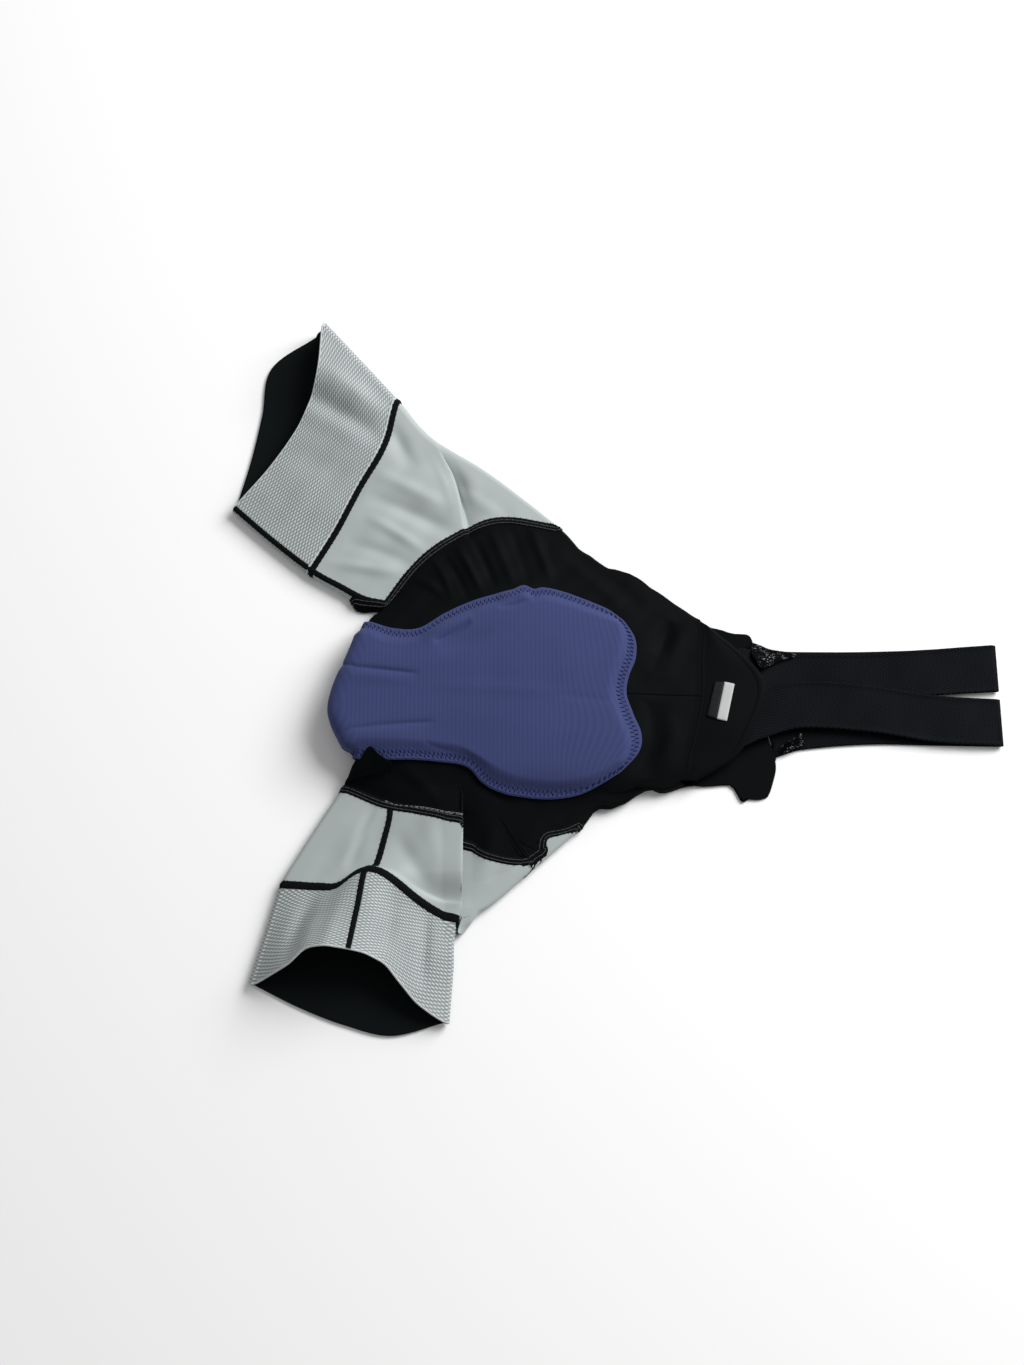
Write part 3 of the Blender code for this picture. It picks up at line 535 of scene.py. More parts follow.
    def point(self, row: Array, turn: Array) -> Array:
        """Return points of the sweep at rows and turns, which broadcast together.

        Args:
            row: Rows of the sweep.
            turn: Turns round its rings.

        Returns:
            Points with a height.
        """
        row, turn = np.asarray(row, float), np.mod(np.asarray(turn, float), 4.0)
        shape = np.broadcast_shapes(row.shape, turn.shape)
        row, turn = np.broadcast_to(row, shape), np.broadcast_to(turn, shape)
        result = np.empty(shape + (3,))
        stretches = (
            (turn < 1.0, self.upper),
            ((turn >= 1.0) & (turn < 2.0), lambda at, spot: self.side(at, spot - 1.0, True)),
            ((turn >= 2.0) & (turn < 3.0), lambda at, spot: self.under(at, 3.0 - spot)),
            (turn >= 3.0, lambda at, spot: self.side(at, 4.0 - spot, False)),
        )
        for mask, build in stretches:
            if mask.any():
                result[mask] = build(row[mask], turn[mask])
        result[..., 1] -= self.lobe_reach(result[..., 0], result[..., 1])
        result[..., :2] += self.gape(row, turn)[..., None] * self.mouth_gape
        result[..., 1] += self.flank_shift(result[..., 0], result[..., 1]) + self.left_leg_shift(row, turn)
        return result

    @staticmethod
    def gape(row: Array, turn: Array) -> Array:
        """Return how open the right leg's mouth is, from 0 to 1."""
        lower_side = smooth_step((turn - 1.42) / 0.45) * np.exp(-(((turn - 1.95) / 0.55) ** 2))
        return lower_side * smooth_step(1.0 - row / 0.9)

    def flank_shift(self, x: Array, y: Array) -> Array:
        """Return how far the garment's flanks stand out of the section table's smooth line.

        Args:
            x: Places along the garment.
            y: Places across it.

        Returns:
            Shifts across the garment.
        """
        shift = np.zeros_like(y)
        for side, table in ((1.0, RIGHT_FLANK), (-1.0, LEFT_FLANK)):
            stops, edges, moves = np.array(table, float).T
            near = smooth_step(1.0 - (np.interp(x, stops, edges) - y) * side / self.flank_depth)
            shift += side * np.interp(x, stops, moves, left=0.0, right=0.0) * near
        return shift

    def left_leg_shift(self, row: Array, turn: Array) -> Array:
        """Return the wave of the left hem and its band's seam, and the drop of the flap beside the band.

        Args:
            row: Rows of the sweep.
            turn: Turns round its rings, of the same shape.

        Returns:
            Shifts across the garment.
        """
        upper = np.where(turn < 1.0, turn, 0.0)
        waves = (LEFT_HEM_WAVE, LEFT_SEAM_WAVE)
        hem, seam = (spline(np.array(wave), upper * (len(wave) - 1)) for wave in waves)
        hem *= smooth_step((row - 19.7) / 1.3)
        seam *= np.exp(-(((row - Row.LEFT_BAND_TOP.value) / 0.5) ** 2))
        at_side = smooth_step((turn - 0.93) / 0.08) * smooth_step((2.3 - turn) / 0.3)
        above_band = smooth_step((row - 18.1) / 0.68) * smooth_step((18.88 - row) / 0.1)
        return hem + seam - self.flap_drop * above_band * at_side

    def lobe_reach(self, x: Array, y: Array) -> Array:
        """Return how far the waist's left end hangs out beyond the section table."""
        along = smooth_step((x - 190.0) / 11.0) * smooth_step((231.0 - x) / 11.0)
        return self.lobe_size * along * smooth_step((-72.0 - y) / 18.0)

    def basis(self, row: Array, turn: Array) -> tuple[Array, Array, Array]:
        """Return the change for one row, the change for one turn, and the outward normal.

        Args:
            row: Rows of the sweep.
            turn: Turns round its rings.

        Returns:
            Three vectors for each place.
        """
        row_step, turn_step = 0.012, 0.003
        along = (self.point(row + row_step, turn) - self.point(row - row_step, turn)) / (2 * row_step)
        around = (self.point(row, turn + turn_step) - self.point(row, turn - turn_step)) / (2 * turn_step)
        return along, around, unit(np.cross(along, around))

    def stretch_lengths(self) -> tuple[Array, Array]:
        """Return rows and, for each, the lengths of the ring's four stretches."""
        rows = np.linspace(0.0, len(self.sections) - 1.0, 85)
        lengths = []
        for first in range(4):
            turns = first + np.linspace(0.0, 0.9999, 25)
            run = np.diff(self.point(rows[:, None], turns[None, :]), axis=1)
            lengths.append(np.linalg.norm(run, axis=-1).sum(-1))
        return rows, np.stack(lengths, axis=-1)

    def arc_knots(self, row: Array) -> Array:
        """Return each row's seven distances round the ring at turns -1 to 5, measured from turn 0."""
        rows, lengths = self.ring_lengths
        parts = [np.interp(row, rows, lengths[:, part]) for part in (3, 0, 1, 2, 3, 0)]
        steps = np.cumsum(np.stack([np.zeros_like(parts[0]), *parts], axis=-1), axis=-1)
        return steps - steps[..., 1:2]

    def turn_beside(self, row: Array, turn: Array, moved: Array) -> Array:
        """Return the turns that lie some millimetres further round the ring than other turns.

        Args:
            row: Rows of the sweep.
            turn: Turns round its rings.
            moved: Distances in millimetres.

        Returns:
            The new turns.
        """
        knots = self.arc_knots(row)
        first = np.clip(np.floor(turn).astype(int) + 1, 0, 5)[..., None]
        low = np.take_along_axis(knots, first, -1)[..., 0]
        high = np.take_along_axis(knots, first + 1, -1)[..., 0]
        arc = low + (high - low) * (turn - first[..., 0] + 1) + moved
        arc = np.clip(arc, knots[..., 0] + 1e-6, knots[..., 6] - 1e-6)
        place = np.clip((arc[..., None] >= knots[..., 1:6]).sum(-1), 0, 5)[..., None]
        low = np.take_along_axis(knots, place, -1)[..., 0]
        high = np.take_along_axis(knots, place + 1, -1)[..., 0]
        return place[..., 0] - 1 + (arc - low) / (high - low)

    def beside(self, row: Array, turn: Array, side: Array, offset: Array, raised: Array,
               strides: int = 4) -> Array:
        """Return points beside a path on the cloth, reached over it in short strides.

        Args:
            row: Rows of the path, one for each of its points.
            turn: Turns of the path.
            side: The path's sideways direction at each point.
            offset: Sideways distances, as one row for lines beside the whole
                path or one column for a single line that wanders.
            raised: Heights above the cloth, shaped as offset is.
            strides: How many strides each distance is taken in.

        Returns:
            Points with a height, one line for each point of the path.
        """
        shape = np.broadcast_shapes((len(row), 1), offset.shape)
        rows, turns = (np.array(np.broadcast_to(part[:, None], shape)) for part in (row, turn))
        heading = np.broadcast_to(side[:, None], shape + (3,))
        stride = np.broadcast_to(offset, shape) / strides
        for _ in range(strides):
            along, around, normal = self.basis(rows, turns)
            heading = unit(heading - (heading * normal).sum(-1, keepdims=True) * normal)
            a, b, c = ((p * q).sum(-1) for p, q in ((along, along), (along, around), (around, around)))
            d, e = (along * heading).sum(-1), (around * heading).sum(-1)
            scale = np.maximum(a * c - b * b, 1e-6)
            turns = self.turn_beside(rows, turns, (a * e - b * d) / scale * np.sqrt(c) * stride)
            rows = np.clip(rows + (c * d - b * e) / scale * stride, 0.0, len(self.sections) - 1.0)
        _, _, normal = self.basis(rows, turns)
        return self.point(rows, turns) + normal * np.broadcast_to(raised, shape)[..., None]


class Pattern(Enum):
    """Surface pattern of a fabric."""

    HONEYCOMB = "honeycomb"
    KNIT = "knit"
    RIBBED = "ribbed"
    MESH = "mesh"
    LACE = "lace"
    SATIN = "satin"
    THREAD = "thread"


# How much a pattern's height lightens the cloth, where it isn't 0.9.
TONE_SHARES = {Pattern.HONEYCOMB: 1.0, Pattern.RIBBED: 0.5, Pattern.KNIT: 0.5}
# How far the honeycomb's rows shift for each millimetre across, and the bumps' depth in millimetres.
COLUMN_SHIFT = 0.42
BUMP_DEPTH = 0.6


@dataclass(frozen=True)
class Finish:
    """A fabric's colours and pattern; pitch is the pattern's repeat in millimetres."""

    name: str
    slot: str
    colour: Triple
    dark: Triple
    pattern: Pattern
    pitch: float
    roughness: float
    bump: float
    sheen: float = 0.0
    specular: float = 0.06


HONEYCOMB_GREY = Finish("honeycomb_grey", "leg_band", (0.45, 0.48, 0.475), (0.165, 0.182, 0.187),
                        Pattern.HONEYCOMB, 3.0, 0.80, 0.5, 0.05, 0.2)
SMOOTH_GREY = Finish("smooth_grey", "grey_knit", (0.332, 0.371, 0.367), (0.300, 0.335, 0.332),
                     Pattern.KNIT, 0.7, 0.60, 0.10, 0.08, 0.25)
INNER_BLACK = Finish("inner_black", "black_knit", (0.0030, 0.0046, 0.0050), (0.0022, 0.0034, 0.0038),
                     Pattern.KNIT, 0.8, 0.70, 0.12)
SOFT_BLACK = Finish("soft_black", "black_knit", (0.0022, 0.0030, 0.0033), (0.0014, 0.0020, 0.0023),
                    Pattern.KNIT, 0.7, 0.62, 0.12, specular=0.03)
PAD_BLUE = Finish("pad_blue", "seat_pad", (0.039, 0.050, 0.139), (0.028, 0.036, 0.105),
                  Pattern.RIBBED, 3.6, 0.82, 0.12, 0.05, 0.12)
PAD_THREAD = Finish("pad_thread", "seat_pad", (0.016, 0.020, 0.085), (0.008, 0.010, 0.050),
                    Pattern.THREAD, 1.6, 0.80, 0.4)
STRAP_MESH = Finish("strap_mesh", "strap_mesh", (0.0045, 0.0056, 0.0085), (0.001, 0.0014, 0.002),
                    Pattern.MESH, 2.4, 0.62, 0.5, specular=0.04)
STRAP_LACE = Finish("strap_lace", "strap_mesh", (0.14, 0.145, 0.15), (0.0010, 0.0013, 0.0016),
                    Pattern.LACE, 3.4, 0.75, 0.3, specular=0.02)
SEAM_BLACK = Finish("seam_black", "black_knit", (0.006, 0.007, 0.0075), (0.0015, 0.0019, 0.0022),
                    Pattern.THREAD, 1.5, 0.70, 0.6, specular=0.04)
THREAD_BLACK = Finish("thread_black", "black_knit", (0.010, 0.011, 0.0115), (0.002, 0.0024, 0.0027),
                      Pattern.THREAD, 0.8, 0.62, 0.4, specular=0.05)
THREAD_GREY = Finish("thread_grey", "grey_knit", (0.34, 0.355, 0.355), (0.09, 0.095, 0.10),
                     Pattern.THREAD, 0.8, 0.60, 0.4, specular=0.2)
THREAD_DIM = Finish("thread_dim", "grey_knit", (0.115, 0.12, 0.12), (0.02, 0.022, 0.024),
                    Pattern.THREAD, 0.8, 0.60, 0.4, specular=0.15)
EDGE_GREY = Finish("edge_grey", "leg_band", (0.50, 0.53, 0.535), (0.36, 0.385, 0.39),
                   Pattern.THREAD, 1.8, 0.60, 0.3, 0.05, 0.2)
LABEL_BLACK = Finish("label_black", "label_dark", (0.007, 0.007, 0.008), (0.003, 0.003, 0.004),
                     Pattern.SATIN, 0.5, 0.50, 0.3, specular=0.12)
LABEL_WHITE = Finish("label_white", "label_white", (0.44, 0.455, 0.45), (0.36, 0.375, 0.37),
                     Pattern.SATIN, 0.5, 0.50, 0.3, specular=0.2)


class NodeSheet:
    """Builds a material's nodes, one call for each node."""

    def __init__(self, name: str) -> None:
        """Start an empty material with its shader."""
        self.material = bpy.data.materials.new(name)
        self.material.use_nodes = True
        self.tree = self.material.node_tree
        self.shader = self.tree.nodes["Principled BSDF"]

    def link(self, source: Socket, target: Socket) -> None:
        """Join two sockets."""
        self.tree.links.new(source, target)

    def add(self, kind: str, **settings: object) -> bpy.types.Node:
        """Add a node of a kind, set its properties and return it."""
        node = self.tree.nodes.new(kind)
        for name, value in settings.items():
            setattr(node, name, value)
        return node

    def math(self, operation: str, first: object, second: object = 0.0) -> Socket:
        """Add a Math node.

        Args:
            operation: The node's operation.
            first: A socket or a number.
            second: A socket or a number.

        Returns:
            The node's output.
        """
        node = self.add("ShaderNodeMath", operation=operation)
        for number, value in enumerate((first, second)):
            if isinstance(value, Socket):
                self.link(value, node.inputs[number])
            else:
                node.inputs[number].default_value = value
        return node.outputs[0]

    def mix(self, factor: Socket, low: Triple, high: Triple) -> Socket:
        """Return the mix of two colours by a factor, which is the second one's share."""
        node = self.add("ShaderNodeMix", data_type="RGBA")
        node.inputs[6].default_value = (*low, 1.0)
        node.inputs[7].default_value = (*high, 1.0)
        self.link(factor, node.inputs[0])
        return node.outputs[2]

    def noise(self, vector: Socket, scale: float, detail: float = 2.0) -> Socket:
        """Return a noise at coordinates, about 0.5; scale is how fine it is and detail its octaves."""
        node = self.add("ShaderNodeTexNoise")
        node.inputs["Scale"].default_value = scale
        node.inputs["Detail"].default_value = detail
        self.link(vector, node.inputs["Vector"])
        return node.outputs["Fac"]

    def ramp(self, value: Socket, low: float, high: float) -> Socket:
        """Return a value mapped from low to high smoothly on to 0 to 1."""
        node = self.add("ShaderNodeMapRange", interpolation_type="SMOOTHSTEP")
        node.inputs["From Min"].default_value = low
        node.inputs["From Max"].default_value = high
        self.link(value, node.inputs["Value"])
        return node.outputs["Result"]


@dataclass
class Weave:
    """The nodes that draw a fabric's pattern on the cloth's own coordinates."""

    sheet: NodeSheet
    finish: Finish
    across: Socket
    along: Socket
    place: Socket

    def wave(self, value: Socket, rate: float = 1.0) -> Socket:
        """Return a wave from 0 to 1 along a coordinate; rate is how many waves one pitch has."""
        turned = self.sheet.math("MULTIPLY", value, 2.0 * math.pi / self.finish.pitch * rate)
        half = self.sheet.math("MULTIPLY", self.sheet.math("COSINE", turned), 0.5)
        return self.sheet.math("ADD", half, 0.5)

    def slanted(self, slope: float) -> Socket:
        """Return a coordinate across the cloth that shifts with the run along it."""
        return self.sheet.math("ADD", self.across, self.sheet.math("MULTIPLY", self.along, slope))

    def fuzz(self, scale: float, low: float, high: float, detail: float = 2.0) -> Socket:
        """Return soft specks from 0 to 1."""
        return self.sheet.ramp(self.sheet.noise(self.place, scale, detail), low, high)

    def honeycomb(self) -> Socket:
        """Return dots that stand in columns along the leg, each column shifted by half a step."""
        shift = self.sheet.math("MULTIPLY", self.across, COLUMN_SHIFT)
        rows = [self.wave(self.sheet.math(way, self.along, shift)) for way in ("ADD", "SUBTRACT")]
        return self.sheet.ramp(self.sheet.math("ADD", *rows), 0.7, 1.8)

    def ribbed(self) -> Socket:
        """Return straight ribs with a little fuzz."""
        fuzz = self.sheet.math("MULTIPLY", self.sheet.noise(self.place, 900.0), 0.3)
        return self.sheet.math("ADD", self.sheet.math("MULTIPLY", self.wave(self.across), 0.7), fuzz)

    def mesh(self) -> Socket:
        """Return a lattice of small holes."""
        return self.sheet.math("MULTIPLY", self.wave(self.slanted(0.5)), self.wave(self.slanted(-0.5)))

    def lace(self) -> Socket:
        """Return light specks in clusters, as of an open mesh that lies over a pale ground."""
        specks, clusters = self.fuzz(900.0, 0.56, 0.64, 1.0), self.fuzz(170.0, 0.42, 0.6, 1.0)
        return self.sheet.math("MULTIPLY", specks, clusters)

    def thread(self) -> Socket:
        """Return the slanted ply of a thread."""
        return self.sheet.math("MULTIPLY", self.wave(self.slanted(0.7)), self.fuzz(900.0, 0.3, 0.6))

    def satin(self) -> Socket:
        """Return the fine floats of a woven label."""
        return self.sheet.math("MULTIPLY", self.wave(self.along), self.wave(self.across, 0.5))

    def knit(self) -> Socket:
        """Return fine stitches with a little fuzz."""
        fine = self.sheet.math("MULTIPLY", self.wave(self.across), self.wave(self.along))
        fuzz = self.sheet.math("MULTIPLY", self.sheet.noise(self.place, 700.0), 0.3)
        return self.sheet.math("ADD", self.sheet.math("MULTIPLY", fine, 0.7), fuzz)

    def height(self) -> Socket:
        """Return the pattern's height, from 0 to 1."""
        return {
            Pattern.HONEYCOMB: self.honeycomb,
            Pattern.KNIT: self.knit,
            Pattern.RIBBED: self.ribbed,
            Pattern.MESH: self.mesh,
            Pattern.LACE: self.lace,
            Pattern.SATIN: self.satin,
            Pattern.THREAD: self.thread,
        }[self.finish.pattern]()

    def tone(self, height: Socket) -> Socket:
        """Return how light the cloth is, from its pattern's height and a slow unevenness."""
        if self.finish.pattern is Pattern.LACE:
            return height
        drift = self.sheet.math("MULTIPLY", self.sheet.noise(self.place, 26.0, 3.0), 0.35)
        share = TONE_SHARES.get(self.finish.pattern, 0.9)
        tone = self.sheet.math("ADD", self.sheet.math("MULTIPLY", height, share), drift)
        return self.sheet.math("SUBTRACT", tone, 0.1)


class FabricShop:
    """Makes each fabric's material once."""

    def __init__(self) -> None:
        """Start with no materials."""
        self.made: dict[str, bpy.types.Material] = {}

    def get(self, finish: Finish) -> bpy.types.Material:
        """Return the material of a finish."""
        if finish.name not in self.made:
            self.made[finish.name] = self.build(finish)
        return self.made[finish.name]

    @staticmethod
    def build(finish: Finish) -> bpy.types.Material:
        """Build a finish's nodes on the cloth's own coordinates, in millimetres.

        Args:
            finish: The fabric.

        Returns:
            The new material.
        """
        sheet = NodeSheet(finish.name)
        uv = sheet.add("ShaderNodeUVMap", uv_map="cloth")
        scale = sheet.add("ShaderNodeVectorMath", operation="SCALE")
        scale.inputs["Scale"].default_value = 1.0 / MM
        sheet.link(uv.outputs[0], scale.inputs[0])
        parts = sheet.add("ShaderNodeSeparateXYZ")
        sheet.link(scale.outputs[0], parts.inputs[0])
        place = sheet.add("ShaderNodeTexCoord").outputs["Object"]
        weave = Weave(sheet, finish, parts.outputs[0], parts.outputs[1], place)
        height = weave.height()
        shader = sheet.shader
        sheet.link(sheet.mix(weave.tone(height), finish.dark, finish.colour), shader.inputs["Base Color"])
        bump = sheet.add("ShaderNodeBump")
        bump.inputs["Strength"].default_value = finish.bump
        bump.inputs["Distance"].default_value = BUMP_DEPTH * MM
        sheet.link(height, bump.inputs["Height"])
        sheet.link(bump.outputs[0], shader.inputs["Normal"])
        shader.inputs["Roughness"].default_value = finish.roughness
        shader.inputs["Sheen Weight"].default_value = finish.sheen
        shader.inputs["Specular IOR Level"].default_value = finish.specular
        sheet.material.diffuse_color = (*finish.colour, 1.0)
        return sheet.material


def halved(low: float, high: float, y_at: Callable[[Array], Array], y: Array) -> Array:
    """Find the rows where the cloth lies at places across, by halving.

    Args:
        low: The first row to look at, whose cloth lies at the greatest y.
        high: The last row to look at.
        y_at: Gives the place across of rows.
        y: The places across to find.

    Returns:
        Rows of the same shape as y.
    """
    first, last = np.full(y.shape, float(low)), np.full(y.shape, float(high))
    for _ in range(HALVINGS):
        middle = 0.5 * (first + last)
        above = y_at(middle) > y
        first, last = np.where(above, middle, first), np.where(above, last, middle)
    return 0.5 * (first + last)


def to_frame(points: Array) -> Array:
    """Move layout points in millimetres to the frame of the part in metres."""
    return (points + LAYOUT_SHIFT) * MM


def lengths_along(points: Array, axis: int) -> Array:
    """Return the distance run at each point of a grid, across its lines (axis 0) or along them (1)."""
    steps = np.linalg.norm(np.diff(points, axis=axis), axis=-1)
    shape = list(points.shape[:2])
    shape[axis] = 1
    return np.concatenate([np.zeros(shape), np.cumsum(steps, axis=axis)], axis=axis)


@dataclass
class ClothMesh:
    """Makes mesh objects of grids of points."""

    shop: FabricShop

    def grid(self, name: str, points: Array, finish: Finish, closed: bool = False,
             cloth: tuple[Array, Array] | None = None) -> Piece:
        """Make a sheet from a grid of layout points.

        Args:
            name: The object's name.
            points: Lines of points; a closed grid repeats its first column as its last.
            finish: The fabric.
            closed: Whether the last column meets the first.
            cloth: Coordinates on the cloth in millimetres, if not the run of the grid.

        Returns:
            The object.
        """
        lines, width = points.shape[:2]
        if cloth is None:
            cloth = (lengths_along(points, 1), lengths_along(points, 0))
        used = width - 1 if closed else width
        row, column = np.meshgrid(np.arange(lines - 1), np.arange(width - 1), indexing="ij")
        row, column = row.ravel(), column.ravel()
        corners = ((row, column), (row + 1, column), (row + 1, column + 1), (row, column + 1))
        faces = np.stack([r * used + np.mod(c, used) for r, c in corners], axis=-1)
        mesh = bpy.data.meshes.new(name)
        placed = points[:, :used].reshape(-1, 3)
        for overlap in OVERLAPS:
            placed = overlap.lap(placed)
        placed = to_frame(placed)
        mesh.from_pydata(placed.tolist(), [], faces.tolist())
        layer = mesh.uv_layers.new(name="cloth")
        u = np.stack([cloth[0][r, c] for r, c in corners], axis=-1)
        v = np.stack([cloth[1][r, c] for r, c in corners], axis=-1)
        layer.data.foreach_set("uv", (np.stack([u, v], axis=-1) * MM).ravel())
        mesh.shade_smooth()
        mesh.materials.append(self.shop.get(finish))
        piece = bpy.data.objects.new(name, mesh)
        bpy.context.scene.collection.objects.link(piece)
        return piece

    def thicken(self, piece: Piece, thickness: float, inside: Finish | None = None,
                outward: float = -1.0) -> None:
        """Give a sheet a wall, with another fabric on its inner side if one is given.

        Args:
            piece: The sheet.
            thickness: The wall in millimetres.
            inside: The inner fabric.
            outward: -1 to grow inwards and 1 to grow outwards.
        """
        if inside is not None:
            piece.data.materials.append(self.shop.get(inside))
        wall = piece.modifiers.new("wall", "SOLIDIFY")
        wall.thickness = thickness * MM
        wall.offset = outward
        wall.use_rim = True
        wall.material_offset = 1 if inside is not None else 0
        bpy.context.view_layer.objects.active = piece
        with bpy.context.temp_override(object=piece, active_object=piece):
            bpy.ops.object.modifier_apply(modifier=wall.name)

    def tube(self, name: str, path: Array, radius: float | Array, finish: Finish, sides: int = 6,
             closed: bool = False) -> Piece:
        """Make a round thread along layout points.

        Args:
            name: The object's name.
            path: Points of its middle.
            radius: One radius, or one for each point.
            finish: The fabric.
            sides: How many sides it has.
            closed: Whether its end meets its start.

        Returns:
            The thread.
        """
        ahead = np.roll(path, -1, axis=0) if closed else np.concatenate([path[1:], path[-1:]])
        behind = np.roll(path, 1, axis=0) if closed else np.concatenate([path[:1], path[:-1]])
        tangent = unit(ahead - behind)
        up = np.tile(np.array([0.0, 0.0, 1.0]), (len(path), 1))
        steep = np.abs(tangent[:, 2]) > 0.9
        up[steep] = np.array([0.0, 1.0, 0.0])
        side = unit(np.cross(tangent, up))
        top = np.cross(side, tangent)
        angles = np.linspace(0.0, 2.0 * math.pi, sides + 1)
        ring = (np.cos(angles)[None, :, None] * side[:, None] + np.sin(angles)[None, :, None] * top[:, None])
        points = path[:, None] + radius * ring
        if closed:
            points = np.concatenate([points, points[:1]])
        piece = self.grid(name, points, finish, closed=True)
        if not closed:
            last = (len(points) - 1) * sides
            self.close(piece, [list(range(sides)), list(range(last + sides - 1, last - 1, -1))])
        return piece

    @staticmethod
    def close(piece: Piece, faces: list[list[int]]) -> None:
        """Close the ends of a piece with faces, and turn all its faces outwards.

        Args:
            piece: The piece to close.
            faces: The numbers of each new face's corners.
        """
        shape = bmesh.new()
        shape.from_mesh(piece.data)
        shape.verts.ensure_lookup_table()
        for corners in faces:
            shape.faces.new([shape.verts[number] for number in corners])
        bmesh.ops.recalc_face_normals(shape, faces=shape.faces)
        shape.to_mesh(piece.data)
        shape.free()


def settle(piece: Piece, finish: Finish, *replaced: str) -> Piece:
    """Fix a piece to the garment's body, hide the CAD nodes it stands for and log its finish's name.

    Args:
        piece: The piece.
        finish: Its fabric.
        replaced: Names of the CAD nodes.

    Returns:
        The same piece.
    """
    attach(piece, BODY)
    if replaced:
        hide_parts(*replaced)
    LOGGER.info("%s: %s, %d faces", piece.name, finish.name, len(piece.data.polygons))
    return piece


@dataclass(frozen=True)
class Cut:
    """A sheet as cut flat: its width round or across, its length and its area, in metres."""

    width: float
    length: float
    area: float
    rests_on: tuple[str, ...] = ()

    def declare(self, piece: Piece) -> Piece:
        """Return the piece unchanged; nothing of the cut is applied to it."""
        list(self.rests_on)
        return piece


CUTS = {
    "right_leg_band": Cut(0.446, 0.125, 0.0390),
    "left_leg_band": Cut(0.402, 0.101, 0.0298),
    "right_leg_panel": Cut(0.442, 0.192, 0.0381),
    "left_leg_panel": Cut(0.460, 0.158, 0.0325),
    "seat_right": Cut(0.320, 0.230, 0.0402, ("front_panel_cloth",)),
    "seat_left": Cut(0.321, 0.204, 0.0349, ("front_panel_cloth",)),
    "front_panel": Cut(0.395, 0.537, 0.0821),
    "back_yoke": Cut(0.055, 0.186, 0.0056, ("right_strap_cloth", "left_strap_cloth")),
    "right_strap": Cut(0.042, 0.446, 0.0187),
    "left_strap": Cut(0.042, 0.456, 0.0187),
    "label_dark": Cut(0.010, 0.035, 0.00028, ("back_yoke_cloth",)),
    "label_white": Cut(0.010, 0.035, 0.00031, ("back_yoke_cloth",)),
    "corner_flap": Cut(0.026, 0.063, 0.00067, ("seat_left_cloth",)),
    "right_mesh": Cut(0.025, 0.050, 0.00057, ("right_strap_cloth",)),
    "left_mesh": Cut(0.011, 0.0235, 0.00020, ("left_strap_cloth",)),
}


@dataclass(frozen=True)
class SeamLine:
    """A seam across the sweep, given by its row at turns.

    Beside the seam the lines that cross it lean by a share of a turn for each
    row, so that they also cross a corner of the seam.
    """

    stops: tuple[Pair, ...]
    lean: float = 0.0

    def row_at(self, turn: Array) -> Array:
        """Return the seam's rows at turns."""
        turns, rows = np.array(self.stops, float).T
        return np.interp(np.mod(turn, 4.0), turns, rows)

    def leaned(self, row: Array, turn: Array) -> Array:
        """Return the turns at rows of lines that cross the seam at given turns."""
        away = row - self.stops[0][1]
        leaning = smooth_step((turn - 0.6) / 0.25) * smooth_step((1.25 - turn) / 0.3)
        return turn + self.lean * away * np.exp(-((away / 2.0) ** 2)) * leaning


def straight(row: Row) -> SeamLine:
    """Return a seam that keeps to one row."""
    return SeamLine(((0.0, row.value), (4.0, row.value)))


RIGHT_LEG_SEAM = SeamLine((
    (0.0, 5.0), (2.6, 5.0), (2.9, 4.4), (3.1, 3.75), (3.72, 3.7), (3.88, 4.35), (4.0, 5.0),
))
LEFT_LEG_SEAM = SeamLine((
    (0.0, 15.97), (0.08, 16.0), (0.163, 16.02), (0.22, 15.98), (0.29, 15.91), (0.39, 15.96), (0.46, 15.98),
    (0.50, 16.02), (0.567, 16.167), (0.595, 16.147), (0.626, 16.12), (0.656, 16.06), (0.693, 15.947),
    (0.742, 15.893), (0.778, 15.913), (0.802, 15.967), (0.824, 16.2), (0.849, 16.42), (0.857, 16.4),
    (0.86, 16.27), (0.866, 15.99), (0.877, 15.83), (0.888, 15.69), (0.8985, 15.55), (0.914, 15.44),
    (0.935, 15.4), (0.953, 15.46), (0.968, 15.55), (0.983, 15.69), (0.997, 15.87), (1.24, 15.9),
    (2.0, 16.0), (3.8, 16.0), (4.0, 15.97),
), 0.18)


# Turns at the steep side of the left leg's seam, where panels have closer columns.
FINE_TURNS = np.linspace(0.842, 0.908, 31)


@dataclass
class Panel:
    """A panel of cloth between two seams."""

    name: str
    first: SeamLine
    last: SeamLine
    lines: int

    def points(self, form: ClothForm, stretches: tuple[Stretch, ...]) -> Array:
        """Return points of the panel.

        Args:
            form: The cloth.
            stretches: For each part of the ring, its first turn, its last and how many columns it has.

        Returns:
            Points with a height, in lines from the first seam to the last.
        """
        parts = [np.linspace(start, end, count, endpoint=False) for start, end, count in stretches]
        turns = np.concatenate([*parts, [stretches[-1][1]]])
        if turns[0] < FINE_TURNS[0] < turns[-1]:
            turns = np.union1d(turns, FINE_TURNS)
        first, last = self.first.row_at(turns), self.last.row_at(turns)
        rows = first + (last - first) * np.linspace(0.0, 1.0, self.lines)[:, None]
        leaned = self.first.leaned(rows, np.broadcast_to(turns, rows.shape))
        return form.point(rows, self.last.leaned(rows, leaned))


